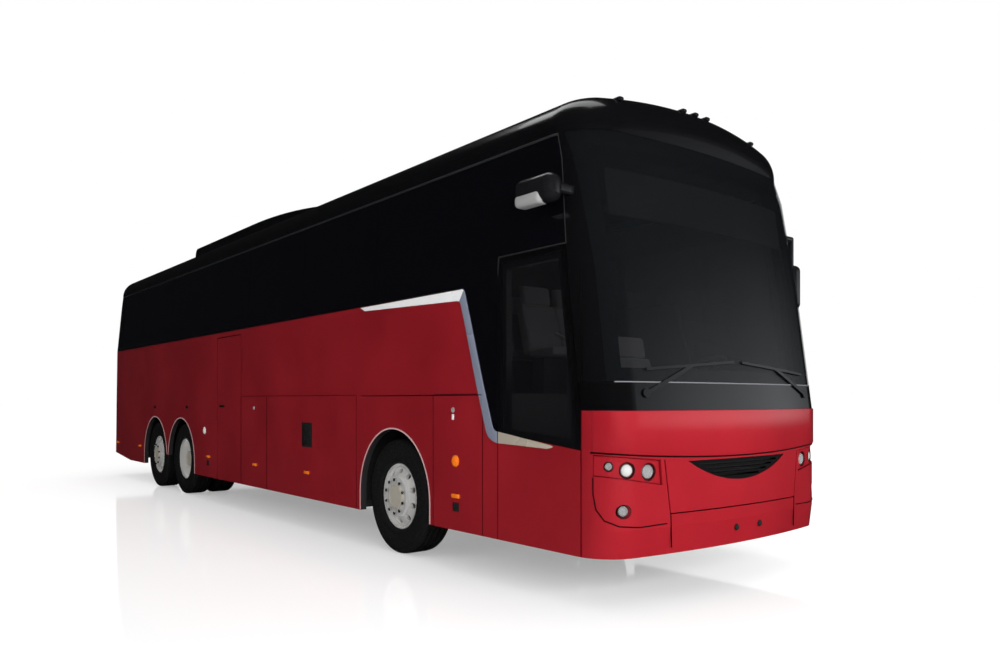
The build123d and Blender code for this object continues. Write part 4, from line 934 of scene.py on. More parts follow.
    def tyres(self) -> None:
        """Spin the tyre's section, with its tread grooves and side walls."""
        section = [(radius, -reach) for radius, reach in self.wall]
        for middle in self.grooves:
            section.extend((radius, middle + across) for radius, across in self.groove)
        section.extend(reversed(self.wall))
        section.append(section[0])
        pieces = [self.spin(section, 96)]
        if self.twin:
            inner = [(radius, reach - self.twin_spacing) for radius, reach in section]
            pieces.append(self.spin(inner, 96))
        node = f"{self.axle}_tyre_{self.side.word}"
        fit(merge(pieces), f"tyre_{self.body}", Finishes.TYRE, "tyre", self.body, (node,))


@dataclass
class Blade:
    """Bright blade along the belt that turns down beside the door and runs out across it."""

    proud: float = 0.007
    rounding: float = 0.004
    gap: float = 0.006
    setback: float = 0.001
    door_gap: float = 0.012
    arm: Outline = (
        (-0.606, 2.2575), (1.10, 2.2607), (1.124, 2.252), (1.138, 2.232), (1.225, 1.977), (1.380, 1.518),
        (1.499, 1.195), (1.515, 1.165), (1.538, 1.150),
    )
    underside: Outline = (
        (1.538, 1.0616), (1.495, 1.0758), (1.452, 1.1), (1.424, 1.137), (1.290, 1.510), (1.140, 1.973),
        (1.076, 2.152), (1.055, 2.169), (1.02, 2.174), (-0.517, 2.2196),
    )
    joint: tuple[float, float, float] = (1.562, 1.145, 1.0573)
    tip: Outline = ((2.17, 1.069), (2.2028, 1.060), (2.195, 1.052), (2.1376, 1.0407))

    def build(self) -> None:
        """Build the blade on both sides, parted where the door and the service flap part it."""
        ahead, top, low = self.joint
        for side in Side:
            corners = [*self.arm, (ahead, top), (ahead, low), *self.underside]
            made = self.plate(corners, side)
            flap = f"service_flap_{side.word}"
            if flap in frame["nodes"]:
                patch = self.plate(corners, side)
                carve(made, self.over(flap, self.gap))
                carve(patch, self.over(flap, -self.setback), "INTERSECT")
                fit(patch, f"blade_patch_{side.word}", Finishes.BLADE, "black_trim", flap)
            # Its colours are painted reflections, bright above the bend and dark bluish past it
            fit(made, f"blade_{side.word}", Finishes.BLADE, "black_trim")
            lead = ahead + self.door_gap
            made = self.plate([(lead, top), *self.tip, (lead, low)], side)
            end, level = self.tip[-1]
            body = carrier(FRONT_AXLE + end, level, side)
            # The tip's cream colour is a painted reflection
            fit(made, f"blade_tip_{side.word}", Finishes.BLADE_TIP, "black_trim", body)

    def plate(self, corners: Outline, side: Side) -> bpy.types.Object:
        """Return a proud plate on a side wall."""
        return panel(side_points(corners, side), side.outward * self.proud, self.rounding, 3)

    def over(self, node: str, margin: float) -> bpy.types.Object:
        """Return a cutter over a side panel, grown by a margin."""
        low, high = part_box(node)
        size = high - low + 2.0 * Vector((margin, 0.1, margin))
        return block((low + high) / 2, size, 0.0005, 1)


@dataclass
class SideFurniture:
    """Markers, locks, handles, vents and seams on the two side walls."""

    markers: Outline = (
        (-9.976, 0.615), (-8.474, 0.614), (-4.988, 0.612), (-3.298, 0.605), (-1.818, 0.609), (1.008, 0.611),
    )
    locks: Outline = ((-3.330, 1.285), (0.965, 1.301))
    latches: Outline = ((-7.575, 1.269), (-5.928, 1.280))
    vents: Outline = ((-5.008, 0.523), (1.008, 0.523))
    tank_caps: Outline = ((-5.154, 0.962),)
    handles: Outline = ((-4.434, 1.303),)
    labels: Outline = ((0.965, 1.245),)
    turn_lamp: Span = (1.001, 0.892)
    grille: tuple[float, float, float, float] = (-1.946, -1.694, 0.881, 1.142)
    slat_pitch: float = 0.026
    seam_middle: float = 0.4
    seam_length: float = 1.98
    seam_section: Span = (0.0016, 0.008)
    strip_round: float = 0.0004
    strip: float = 0.0014
    strip_width: float = 0.005
    strip_away: float = 0.009

    def build(self) -> None:
        """Set the pieces out on both sides."""
        for side in Side:
            self.blocks("marker", self.markers, (0.105, 0.022, 0.036), side, Finishes.AMBER, "lamp_glass")
            self.blocks("latch", self.latches, (0.085, 0.01, 0.03), side, Finishes.BLACK_TRIM)
            self.blocks("vent", self.vents, (0.085, 0.006, 0.07), side, Finishes.MATT_BLACK)
            self.rounds("lock", self.locks, 0.022, side, Finishes.SILVER)
            self.indicator(side)
            self.louvre(side)
            self.seams(side)
            self.lips(side)
        self.rounds("tank_cap", self.tank_caps, 0.05, Side.RIGHT, Finishes.WHITE)
        self.blocks("handle", self.handles, (0.15, 0.03, 0.028), Side.RIGHT, Finishes.BLACK_TRIM)
        self.blocks("label", self.labels, (0.03, 0.004, 0.045), Side.RIGHT, Finishes.WHITE)

    def attach(
        self, kind: str, spots: Outline, side: Side, look: Finish, slot: str,
        make: Callable[[Vector], bpy.types.Object],
    ) -> None:
        """Set fittings of one kind on a side, joined by the body that carries them.

        Args:
            kind: What they are.
            spots: Their places.
            side: The side.
            look: Their finish.
            slot: The record's slot.
            make: What builds one at a place on the wall.
        """
        groups: dict[str, list[bpy.types.Object]] = {}
        for (ahead, z), place in zip(spots, side_points(spots, side)):
            groups.setdefault(carrier(FRONT_AXLE + ahead, z, side), []).append(make(Vector(place)))
        for body, pieces in groups.items():
            fit(merge(pieces), f"{kind}_{side.word}.{body}", look, slot, body)

    def blocks(
        self, kind: str, spots: Outline, size: Point, side: Side, look: Finish, slot: str = "black_trim",
    ) -> None:
        """Set rounded blocks on a side, of a length, depth and height."""
        def make(place: Vector) -> bpy.types.Object:
            """Build one block, a quarter of its depth out from the wall's face."""
            return block(place + side.outward * size[1] / 4, size, min(size) * 0.4, 3)

        self.attach(kind, spots, side, look, slot, make)

    def rounds(self, kind: str, spots: Outline, radius: float, side: Side, look: Finish) -> None:
        """Spin round fittings onto a side."""
        profile = [
            (0.0, 0.006), (radius * 0.55, 0.006), (radius * 0.6, 0.004), (radius * 0.9, 0.005), (radius, 0.0),
            (radius, -0.004),
        ]

        def make(place: Vector) -> bpy.types.Object:
            """Spin one fitting."""
            return spun(profile, place, side.outward, UP, 28)

        self.attach(kind, spots, side, look, "black_trim", make)

    def indicator(self, side: Side) -> None:
        """Spin the large round indicator ahead of the front wheel."""
        profile = (
            (0.0, 0.024), (0.022, 0.022), (0.038, 0.016), (0.047, 0.006), (0.049, 0.0), (0.049, -0.004),
        )
        place = Vector(side_points([self.turn_lamp], side)[0])
        made = spun(profile, place, side.outward, UP, 32)
        body = carrier(place.x, place.z, side)
        fit(made, f"indicator_{side.word}", Finishes.AMBER, "lamp_glass", body)

    def louvre(self, side: Side) -> None:
        """Fit the air grille behind the front wheel: a frame with slats in rows."""
        rear, front, low, high = self.grille
        middle = FRONT_AXLE + (rear + front) / 2
        length, height = front - rear, high - low
        lie = side.value * SIDE_Y
        slat = block((middle, lie + side.value * 0.001, low + 0.012), (length - 0.02, 0.008, 0.014), 0.003)
        row(slat, int(height / self.slat_pitch), (0.0, 0.0, self.slat_pitch))
        back = block((middle, lie, (low + high) / 2), (length, 0.006, height), 0.002)
        body = carrier(middle, (low + high) / 2, side)
        fit(merge([slat, back]), f"side_grille_{side.word}", Finishes.MATT_BLACK, "black_trim", body)

    def seams(self, side: Side) -> None:
        """Lay the dark seam under the belt panel and those round the flaps and doors."""
        middle = (FRONT_AXLE + self.seam_middle, side.value * SIDE_Y, SEAM_Z)
        pieces = [block(middle, (self.seam_length, *self.seam_section), self.strip_round)]
        for _, low, high in side_panels(side):
            pieces.extend(self.seal(low, high, side))
        fit(merge(pieces), f"seams_{side.word}", Finishes.SEAM, "black_trim")

    def seal(self, low: Vector, high: Vector, side: Side) -> list[bpy.types.Object]:
        """Return thin dark strips on the wall, round a flap's upright edges and its top."""
        middle, level = (low + high) / 2, min(high.z, BELT_Z)
        lie = side.value * SIDE_Y
        strips = []
        if level < BELT_Z:
            top = (middle.x, lie, level + self.strip_away)
            strips.append((top, (high.x - low.x, self.strip, self.strip_width)))
        for x in (low.x - self.strip_away, high.x + self.strip_away):
            upright = (x, lie, (low.z + level) / 2)
            strips.append((upright, (self.strip_width, self.strip, level - low.z)))
        return [block(centre, size, self.strip_round, 1) for centre, size in strips]

    def lips(self, side: Side) -> None:
        """Edge the wheel arches with a thin rolled lip in a painted highlight, down to the skirt where a foot
        is free.
        """
        front, rear = 1, -1
        arches = (
            (FRONT_AXLE, 0.51, 0.61, (0.0, 180.0), (front, rear)),
            (DRIVE_AXLE, 0.48, 0.63, (0.0, 174.0), (front,)),
            (TAG_AXLE, 0.48, 0.63, (6.0, 180.0), (rear,)),
        )
        foot = SKIRT_Z + 0.005
        pieces = []
        for centre, level, radius, (start, end), feet in arches:
            turns = [math.radians(start + (end - start) * step / 40) for step in range(41)]
            edges = []
            for reach in (radius + 0.001, radius + 0.014):
                spots = [(centre + reach * math.cos(turn), level + reach * math.sin(turn)) for turn in turns]
                if front in feet:
                    spots.insert(0, (centre + reach, foot))
                if rear in feet:
                    spots.append((centre - reach, foot))
                edges.append([(x, side.value * (SIDE_Y + 0.003), z) for x, z in spots])
            pieces.append(ribbon(edges[0], edges[1], side.outward, 0.003))
        fit(merge(pieces), f"arch_lips_{side.word}", Finishes.LIP, "black_trim")


@dataclass
class Front:
    """Proud band, lamp plates, lamps, seams and small fittings of the nose."""

    band_low: float = 0.985
    band_rise: float = 0.034
    proud: float = 0.012
    reach: float = 1.262
    plate: Outline = ((0.822, 0.816), (1.250, 0.886), (1.250, 1.014), (0.836, 0.972))
    lamps: tuple[tuple[float, float, float], ...] = (
        (0.923, 0.902, 0.062), (1.096, 0.917, 0.057), (1.203, 0.944, 0.034),
    )
    fog: tuple[float, float, float] = (1.121, 0.649, 0.046)
    lamp_depth: float = 0.036
    plate_depth: float = 0.016
    line_reach: float = 1.16
    line_z: Span = (1.499, 1.507)
    line_out: float = 0.002
    tray_middle: Point = (FRONT_AXLE + 2.05, 0.46, 0.352)
    tray_size: Point = (1.16, 1.4, 0.012)
    studs_y: Span = (-0.06, 0.23)
    studs_z: float = 0.455
    grooves: tuple[Outline, ...] = (
        (
            (1.2565, 0.87), (1.256, 0.76), (1.248, 0.66), (1.22, 0.59), (1.15, 0.553), (1.0, 0.54),
            (0.755, 0.548),
        ),
        ((0.741, 0.615), (0.733, 0.36)),
    )

    def build(self) -> None:
        """Build the front's pieces in order."""
        self.band()
        self.light_line()
        for side in Side:
            self.lamp_plate(side)
            self.lamp_set(side)
            self.bumper_seam(side)
        self.studs()
        tray = block(self.tray_middle, self.tray_size, 0.004)
        fit(tray, "nose_undertray", Finishes.MATT_BLACK, "black_trim")

    def lower(self, y: float) -> float:
        """Return the height of the band's lower edge."""
        return self.band_low + self.band_rise * y * y

    def band(self) -> None:
        """Wrap the proud red band round the nose."""
        spots = [-self.reach + 2.0 * self.reach * step / 60 for step in range(61)]
        top = [(NOSE.x(y, BAND_TOP_Z, self.proud), y, BAND_TOP_Z) for y in spots]
        low = [(NOSE.x(y, 1.0, self.proud), y, self.lower(y)) for y in spots]
        made = ribbon(top, low, FORWARD, 0.018)
        soften(made, 0.005, 3, 50.0)
        fit(made, "nose_band", Finishes.RED_PAINT, "body_paint")
        # Dark tube under the band's lower edge: a painted shadow line below the proud band
        painted_shadow = tube([(NOSE.x(y), y, self.lower(y) - 0.004) for y in spots], 0.007)
        fit(painted_shadow, "nose_band_gap", Finishes.SEAM, "black_trim")

    def light_line(self) -> None:
        """Lay the thin bright line at the foot of the screen."""
        low, top = (NOSE.chain(-self.line_reach, self.line_reach, z, self.line_out, 40) for z in self.line_z)
        made = ribbon(top, low, FORWARD, self.line_out)
        fit(made, "screen_foot_line", Finishes.FOOT_LINE, "black_trim")

    def lamp_plate(self, side: Side) -> None:
        """Fill the lamp recess with a red plate set a little back."""
        inner_low, outer_low, outer_top, inner_top = self.plate
        edges = []
        for start, end in ((inner_low, outer_low), (inner_top, outer_top)):
            chain = []
            for step in range(17):
                share = step / 16
                y = start[0] + (end[0] - start[0]) * share
                z = start[1] + (end[1] - start[1]) * share
                chain.append((NOSE.x(y, 1.0, -self.plate_depth), side.value * y, z))
            edges.append(chain)
        made = ribbon(edges[0], edges[1], FORWARD, 0.008)
        for y, z, radius in self.lamps:
            turn = (0.0, math.pi / 2, NOSE.lean(side.value * y))
            carve(made, cylinder(radius, 0.12, (NOSE.x(y), side.value * y, z), turn, 40))
        fit(made, f"lamp_plate_{side.word}", Finishes.RED_PAINT, "body_paint")

    def lamp_set(self, side: Side) -> None:
        """Build the wells, bowls and lenses of one side."""
        wells, bowls, lenses, opals = [], [], [], []
        dipped = self.lamps[1]
        for spot in (*self.lamps, self.fog):
            y, z, radius = spot
            lean = NOSE.lean(side.value * y)
            axis = Vector((math.cos(lean), math.sin(lean), 0.0))
            hub = Vector((NOSE.x(y), side.value * y, z)) - axis * self.lamp_depth
            lens = radius * 0.72
            mouth = 0.030 if spot == self.fog else 0.020
            well = (
                (0.0, -0.001), (radius * 0.96, 0.0), (radius * 0.985, mouth - 0.004), (radius * 1.03, mouth),
            )
            bowl = (
                (lens * 1.04, 0.0), (lens * 1.02, 0.010), (lens * 0.94, 0.012), (lens * 0.6, 0.004),
                (0.0, 0.002),
            )
            glass = ((lens * 0.97, 0.009), (lens * 0.85, 0.015), (lens * 0.5, 0.021), (0.0, 0.023))
            wells.append(spun(well, hub, axis, UP, 40))
            bowls.append(spun(bowl, hub, axis, UP, 24))
            (opals if spot == dipped else lenses).append(spun(glass, hub, axis, UP, 32))
        # The wells' dark red is painted shade
        fit(merge(wells), f"lamp_wells_{side.word}", Finishes.WELL, "black_trim")
        fit(merge(bowls), f"lamp_bowls_{side.word}", Finishes.BOWL, "lamp_glass", angle=12.0)
        fit(merge(opals), f"lamp_opal_{side.word}", Finishes.OPAL, "lamp_glass")
        replaced = ("headlamps",) if side is Side.RIGHT else ()
        fit(merge(lenses), f"lamp_lenses_{side.word}", Finishes.LENS, "lamp_glass", BODY, replaced)

    def bumper_seam(self, side: Side) -> None:
        """Lay the groove that curves from the lamp plate's end down round the bumper."""
        made = merge([tube(self.trace(path, side), 0.0045) for path in self.grooves])
        fit(made, f"bumper_seam_{side.word}", Finishes.SEAM, "black_trim")

    def trace(self, path: Outline, side: Side, count: int = 12) -> Places:
        """Return close points on the nose along a path of places across and heights.

        Args:
            path: Corners of the path, as distance from the middle and height.
            side: The side of the coach.
            count: Points between two corners.

        Returns:
            The points.
        """
        points = []
        for (start_y, start_z), (end_y, end_z) in pairwise(path):
            for step in range(count):
                share = step / count
                y = start_y + (end_y - start_y) * share
                points.append((NOSE.x(y), side.value * y, start_z + (end_z - start_z) * share))
        return points

    def studs(self) -> None:
        """Set the two round covers in the bumper's middle."""
        profile = [(0.0, 0.007), (0.016, 0.007), (0.020, 0.004), (0.024, 0.0), (0.024, -0.006)]
        pieces = []
        for y in self.studs_y:
            hub = Vector((NOSE.x(y), y, self.studs_z))
            pieces.append(spun(profile, hub, FORWARD, UP, 24))
        fit(merge(pieces), "bumper_studs", Finishes.MATT_BLACK, "black_trim")


@dataclass
class Cabin:
    """Padded seats, the driver's blind and the handrail."""

    pitch: float = 0.83
    front_row: float = FRONT_AXLE - 0.06
    aisle: float = 0.26
    seat_width: float = 0.44
    seat_step: float = 0.448
    pair_width: float = 0.9
    pair_inset: float = 0.006
    # Side, first row and number of rows of each block of pairs
    blocks: tuple[tuple[Side, int, int], ...] = ((Side.LEFT, 0, 12), (Side.RIGHT, 0, 5), (Side.RIGHT, 7, 5))
    driver_x: float = FRONT_AXLE + 1.13
    blind_reach: float = 1.02
    blind_z: Span = (2.66, 2.99)
    blind_behind: float = 0.09
    rail_y: float = -0.38
    rail_path: Outline = ((1.75, 0.86), (1.75, 1.65), (1.69, 1.75), (1.2, 1.95))

    def build(self) -> None:
        """Fit the cabin out."""
        self.rows()
        self.driver()
        self.blind()
        self.rail()

    def pad(self, profile: Outline, x: float, y: float, floor: float, width: float) -> bpy.types.Object:
        """Extrude a pad's side profile across and round it off."""
        points = [(x + ahead, y, floor + up) for ahead, up in profile]
        return panel(points, (0.0, width, 0.0), 0.026, 3)

    def seat(self, x: float, y: float, floor: float, width: float) -> bpy.types.Object:
        """Build a cushion, a back rest and a head rest.

        Args:
            x: The seat's back corner.
            y: Its lower side along Y.
            floor: Height of the floor.
            width: Its width.

        Returns:
            The pads, joined.
        """
        cushion = ((0.09, 0.375), (0.465, 0.388), (0.478, 0.43), (0.475, 0.478), (0.11, 0.458))
        rest = ((0.0, 0.40), (0.10, 0.44), (0.125, 0.50), (-0.01, 0.93), (-0.125, 0.93), (-0.085, 0.70))
        head = ((-0.122, 0.935), (-0.012, 0.935), (-0.045, 1.115), (-0.075, 1.13), (-0.145, 1.128))
        return merge([
            self.pad(cushion, x, y, floor, width),
            self.pad(rest, x, y, floor, width),
            self.pad(head, x, y + width * 0.1, floor, width * 0.8),
        ])

    def rows(self) -> None:
        """Set the pairs out in rows along both sides of the aisle."""
        pads, legs = [], []
        for side, first, count in self.blocks:
            x = self.front_row - first * self.pitch
            low = self.aisle if side is Side.LEFT else -self.aisle - self.pair_width
            near = low + self.pair_inset
            seats = [self.seat(x, y, DECK_Z, self.seat_width) for y in (near, near + self.seat_step)]
            pair = merge(seats)
            leg = block((x + 0.225, low + self.pair_width / 2, DECK_Z + 0.186), (0.19, 0.86, 0.372), 0.012)
            step = (-self.pitch, 0.0, 0.0)
            pads.append(row(pair, count, step))
            legs.append(row(leg, count, step))
        nodes = ("passenger_seats",)
        made = fit(merge(pads), "passenger_pads", Finishes.CLOTH, "seat_fabric", BODY, nodes, 50.0)
        fit(merge(legs), "seat_plinths", Finishes.DASH, "interior_plastic")

    def driver(self) -> None:
        """Build the driver's seat on its pedestal."""
        low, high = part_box("driver_seat")
        width = high.y - low.y
        made = self.seat(self.driver_x, low.y, low.z, width)
        pads = fit(made, "driver_pads", Finishes.CLOTH, "seat_fabric", BODY, ("driver_seat",), 50.0)
        centre = (self.driver_x + 0.24, (low.y + high.y) / 2, low.z + 0.19)
        pedestal = block(centre, (0.34, width * 0.7, 0.38), 0.02)
        fit(pedestal, "driver_pedestal", Finishes.DASH, "interior_plastic")

    def blind(self) -> None:
        """Hang the dark blind behind the top of the screen."""
        reach = self.blind_reach
        low, top = (NOSE.chain(-reach, reach, z, -self.blind_behind) for z in self.blind_z)
        made = ribbon(top, low, FORWARD, 0.004)
        fit(made, "sun_blind", Finishes.MATT_BLACK, "interior_plastic")

    def rail(self) -> None:
        """Bend the handrail beside the entry steps."""
        points = [(FRONT_AXLE + ahead, self.rail_y, z) for ahead, z in self.rail_path]
        fit(tube(points, 0.016), "handrail", Finishes.SILVER, "interior_plastic")


@dataclass
class Roof:
    """Clearance lamps on the dome's front edge, seated on the roof."""

    lamps: tuple[float, ...] = (-0.78, -0.14, 0.0, 0.14, 0.78)
    level: float = 3.25
    behind: float = 0.19
    above: float = 4.5

    def build(self) -> None:
        """Set the lamps."""
        pieces = []
        for y in self.lamps:
            start = Vector((NOSE.x(y, self.level) - self.behind, y, self.above))
            spot = frame["nodes"]["roof"].ray_cast(start, Vector(DOWN))[1]
            pieces.append(block(spot, (0.08, 0.05, 0.03), 0.012, 3))
        fit(merge(pieces), "roof_lamps", Finishes.BLACK_TRIM, "black_trim")


@dataclass
class Mirrors:
    """Rounded pod on the door's side with a bright underside, and the head that hangs on the other side."""

    pod_x: Span = (FRONT_AXLE + 1.965, FRONT_AXLE + 2.37)
    pod_z: Span = (2.715, 2.915)
    head_x: Span = (FRONT_AXLE + 2.13, FRONT_AXLE + 2.43)
    head_z: Span = (2.19, 2.58)
    root: float = 1.16
    arm_round: float = 0.02

    def build(self) -> None:
        """Build the housings, their arms and the pod's underside."""
        low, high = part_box("mirrors")
        pod = self.shell(self.pod_x, (low.y + 0.012, low.y + 0.165), self.pod_z, 0.07)
        head = self.shell(self.head_x, (high.y - 0.13, high.y - 0.005), self.head_z, 0.05)
        pod_arm = (self.pod_x[1] - 0.075, self.pod_x[1] - 0.015)
        head_arm = (high.x - 0.1, high.x - 0.05)
        arms = [
            self.shell(pod_arm, (low.y + 0.1, -self.root), (2.78, 2.85), self.arm_round),
            self.shell(head_arm, (self.root, high.y - 0.06), (2.79, 2.84), self.arm_round),
            self.shell(head_arm, (high.y - 0.09, high.y - 0.04), (2.5, 2.84), self.arm_round),
        ]
        made = merge([pod, head, *arms])
        fit(made, "mirror_housings", Finishes.BLACK_TRIM, "black_trim", BODY, ("mirrors",), 50.0)
        under = self.shell(
            (self.pod_x[0] + 0.03, self.pod_x[1] - 0.1), (low.y + 0.004, low.y + 0.12),
            (self.pod_z[0] - 0.004, self.pod_z[0] + 0.085), 0.035,
        )
        fit(under, "mirror_pod_underside", Finishes.SILVER, "black_trim", angle=50.0)

    def shell(self, along: Span, across: Span, rise: Span, round_off: float) -> bpy.types.Object:
        """Return a housing with well rounded edges between limits along each axis."""
        centre = [(low + high) / 2 for low, high in (along, across, rise)]
        size = [high - low for low, high in (along, across, rise)]
        return block(centre, size, round_off, 6)


@dataclass
class Studio:
    """Floor, lights, world and the camera that stands where the photograph was taken."""

    eye: Vector = field(default_factory=lambda: Vector((FRONT_AXLE + 6.442, -4.925, 1.382)))
    turn: float = 48.94
    lens: float = 29.13
    shift: Span = (-0.0578, 0.0665)
    floor_size: float = 400.0
    floor_tone: Colour = (0.9, 0.9, 0.9)
    floor_mirror: float = 0.25
    floor_gloss: float = 0.07
    lift_span: Span = (9.0, 32.0)
    lift: Span = (0.31, 0.48)
    floor_touch: float = 0.003
    sky: float = 0.55
    flag_tone: Colour = (0.012, 0.012, 0.013)
    flag_radius: float = 36.0
    flag_height: float = 26.0
    flag_sunk: float = 0.2
    carpet_z: float = 0.004
    card_tone: Colour = (0.93, 0.97, 1.0)
    card_size: Point = (40.0, 16.0, 1.0)
    card_place: Point = (22.0, 21.0, 8.0)
    card_turn: float = -54.0
    view_end: float = 1000.0

    def build(self) -> None:
        """Set up the view, the floor and the light."""
        self.camera()
        self.floor()
        self.flags()
        self.reflector()
        self.world()
        self.lamp("key", (17.0, -3.0, 3.4), (6.4, -0.2, 0.9), (14.0, 6.0), 2300.0, glossy=False)
        self.lamp("side_fill", (0.0, -17.0, 8.0), (0.0, -1.3, 1.2), (14.0, 4.0), 420.0, glossy=False)
        self.lamp("far_fill", (0.0, 17.0, 8.0), (0.0, 1.3, 1.2), (14.0, 4.0), 420.0, glossy=False)
        self.lamp("overhead", (0.0, 0.0, 15.0), (0.0, 0.0, 3.0), (15.0, 5.0), 420.0)

    def camera(self) -> None:
        """Add the level camera."""
        bpy.ops.object.camera_add(location=self.eye, rotation=(math.pi / 2, 0.0, math.radians(self.turn)))
        camera = bpy.context.object
        camera.data.lens = self.lens
        camera.data.shift_x, camera.data.shift_y = self.shift
        camera.data.clip_end = self.view_end
        bpy.context.scene.camera = camera

    def floor(self) -> None:
        """Add the pale floor: matt with a faint mirror, lifted to white for the camera alone."""
        bpy.ops.mesh.primitive_plane_add(size=self.floor_size)
        floor = bpy.context.object
        floor.name = "studio_floor"
        material = bpy.data.materials.new("studio_floor")
        nodes = Sockets(material)
        nodes.matt(self.floor_tone, 0.9)
        mirror = nodes.add("ShaderNodeBsdfGlossy")
        nodes.feed(mirror, Color=(*self.floor_tone, 1.0), Roughness=self.floor_gloss)
        mixed = nodes.mixture(self.floor_mirror, nodes.shader, mirror)
        away = nodes.add("ShaderNodeVectorMath", operation="LENGTH")
        nodes.give(away.inputs[0], nodes.place)
        level = nodes.ramp(away.outputs["Value"], self.lift_span, self.lift)
        seen = nodes.add("ShaderNodeLightPath").outputs["Is Camera Ray"]
        lift = nodes.feed(nodes.add("ShaderNodeEmission"), Color=(1.0, 1.0, 1.0, 1.0))
        nodes.feed(lift, Strength=nodes.maths("MULTIPLY", seen, level))
        summed = nodes.add("ShaderNodeAddShader")
        nodes.give(summed.inputs[0], mixed.outputs[0])
        nodes.give(summed.inputs[1], lift.outputs[0])
        nodes.surface(summed)
        floor.data.materials.append(material)

    def clear_of_floor(self, nodes: Sockets) -> None:
        """Let rays that come from the floor pass a card, so that the floor mirrors only the coach.

        Args:
            nodes: The card's material.
        """
        surface = nodes.add("ShaderNodeNewGeometry")
        heights = []
        for name in ("Position", "Incoming"):
            parts = nodes.feed(nodes.add("ShaderNodeSeparateXYZ"), Vector=surface.outputs[name])
            heights.append(parts.outputs["Z"])
        rise = nodes.maths("MULTIPLY", heights[1], nodes.add("ShaderNodeLightPath").outputs["Ray Length"])
        origin = nodes.maths("ADD", heights[0], rise)
        from_floor = nodes.maths("LESS_THAN", origin, self.floor_touch)
        clear = nodes.add("ShaderNodeBsdfTransparent")
        nodes.surface(nodes.mixture(from_floor, nodes.shader, clear))

    def hide_card(self, card: bpy.types.Object, material: bpy.types.Material) -> None:
        """Give a card its material and keep it for reflections alone."""
        card.data.materials.append(material)
        card.visible_camera = False
        card.visible_diffuse = False
        card.visible_transmission = False
        card.visible_volume_scatter = False
        card.visible_shadow = False

    def flags(self) -> None:
        """Stand dark cards round, below and above for reflections alone, so that black gloss stays black."""
        material = bpy.data.materials.new("studio_flag")
        nodes = Sockets(material)
        nodes.matt(self.flag_tone, 1.0)
        self.clear_of_floor(nodes)
        bpy.ops.mesh.primitive_cylinder_add(
            vertices=96, radius=self.flag_radius, depth=self.flag_height, end_fill_type="NOTHING",
            location=(0.0, 0.0, self.flag_height / 2 - self.flag_sunk),
        )
        ring = bpy.context.object
        ring.name = "studio_flag_ring"
        bpy.ops.mesh.primitive_plane_add(size=2.0 * self.flag_radius, location=(0.0, 0.0, self.carpet_z))
        carpet = bpy.context.object
        carpet.name = "studio_flag_carpet"
        height = self.flag_height - 2.0 * self.flag_sunk
        bpy.ops.mesh.primitive_plane_add(size=2.0 * self.flag_radius, location=(0.0, 0.0, height))
        lid = bpy.context.object
        lid.name = "studio_flag_lid"
        for card in (ring, carpet, lid):
            self.hide_card(card, material)

    def reflector(self) -> None:
        """Stand a soft card ahead for reflections alone, so that the screen has a sheen."""
        material = bpy.data.materials.new("studio_reflector")
        nodes = Sockets(material)
        nodes.feed(nodes.shader, Base_Color=(0.0, 0.0, 0.0, 1.0), Emission_Color=(*self.card_tone, 1.0))
        parts = nodes.feed(nodes.add("ShaderNodeSeparateXYZ"), Vector=nodes.place)
        fade = nodes.ramp(parts.outputs["Y"], (-5.0, 6.0), (0.8, 0.03))
        foot = nodes.ramp(parts.outputs["Y"], (-8.0, -4.5))
        ends = nodes.ramp(nodes.maths("ABSOLUTE", parts.outputs["X"], 0.0), (20.0, 4.0))
        glow = nodes.maths("MULTIPLY", fade, nodes.maths("MULTIPLY", foot, ends))
        nodes.feed(nodes.shader, Emission_Strength=glow)
        bpy.ops.mesh.primitive_plane_add(size=1.0)
        card = bpy.context.object
        card.name = "studio_reflector"
        card.scale = self.card_size
        bpy.ops.object.transform_apply(location=False, rotation=False, scale=True)
        card.location = self.card_place
        card.rotation_euler = (math.pi / 2, 0.0, math.radians(self.card_turn))
        self.clear_of_floor(nodes)
        self.hide_card(card, material)

    def world(self) -> None:
        """Light the scene softly from all round, on a white background."""
        world = bpy.data.worlds.new("studio_world")
        world.use_nodes = True
        tree = world.node_tree
        background = tree.nodes["Background"]
        background.inputs["Color"].default_value = (1.0, 1.0, 1.0, 1.0)
        path = tree.nodes.new("ShaderNodeLightPath")
        seen = path.outputs["Is Camera Ray"]
        for ray in ("Is Glossy Ray", "Is Transmission Ray"):
            either = tree.nodes.new("ShaderNodeMath")
            either.operation = "MAXIMUM"
            tree.links.new(seen, either.inputs[0])
            tree.links.new(path.outputs[ray], either.inputs[1])
            seen = either.outputs[0]
        level = tree.nodes.new("ShaderNodeMapRange")
        tree.links.new(seen, level.inputs["Value"])
        level.inputs["To Min"].default_value = self.sky
        level.inputs["To Max"].default_value = 1.0
        tree.links.new(level.outputs[0], background.inputs["Strength"])
        bpy.context.scene.world = world

    def lamp(
        self, name: str, place: Point, target: Point, size: Span, power: float, glossy: bool = True,
    ) -> None:
        """Hang a soft rectangular lamp.

        Args:
            name: Its name.
            place: Where it hangs.
            target: What it faces.
            size: Its width and height.
            power: Its power in watts.
            glossy: Whether gloss mirrors it.
        """
        aim = Vector(target) - Vector(place)
        turn = aim.to_track_quat("-Z", "Y").to_euler()
        bpy.ops.object.light_add(type="AREA", location=place, rotation=turn)
        lamp = bpy.context.object
        lamp.name = f"studio_{name}"
        lamp.data.shape = "RECTANGLE"
        lamp.data.size, lamp.data.size_y = size
        lamp.data.energy = power
        lamp.visible_glossy = glossy


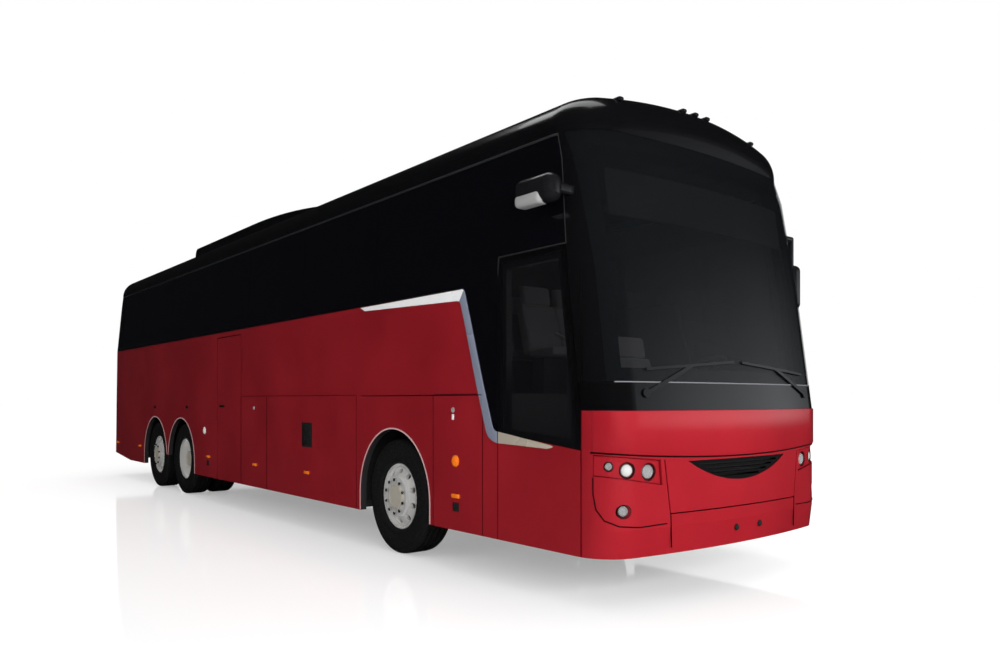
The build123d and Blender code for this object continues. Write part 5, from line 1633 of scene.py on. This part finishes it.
def main() -> None:
    """Build the coach's looks in order."""
    logging.basicConfig(level=logging.INFO, format="%(message)s")
    fresh()
    bpy.context.scene.view_settings.view_transform = "Standard"
    dress_nodes()
    for axle in AXLES:
        for side in Side:
            Wheel(axle, side).build()
    Blade().build()
    SideFurniture().build()
    Front().build()
    Cabin().build()
    Roof().build()
    Mirrors().build()
    Studio().build()


if __name__ == "__main__":
    main()
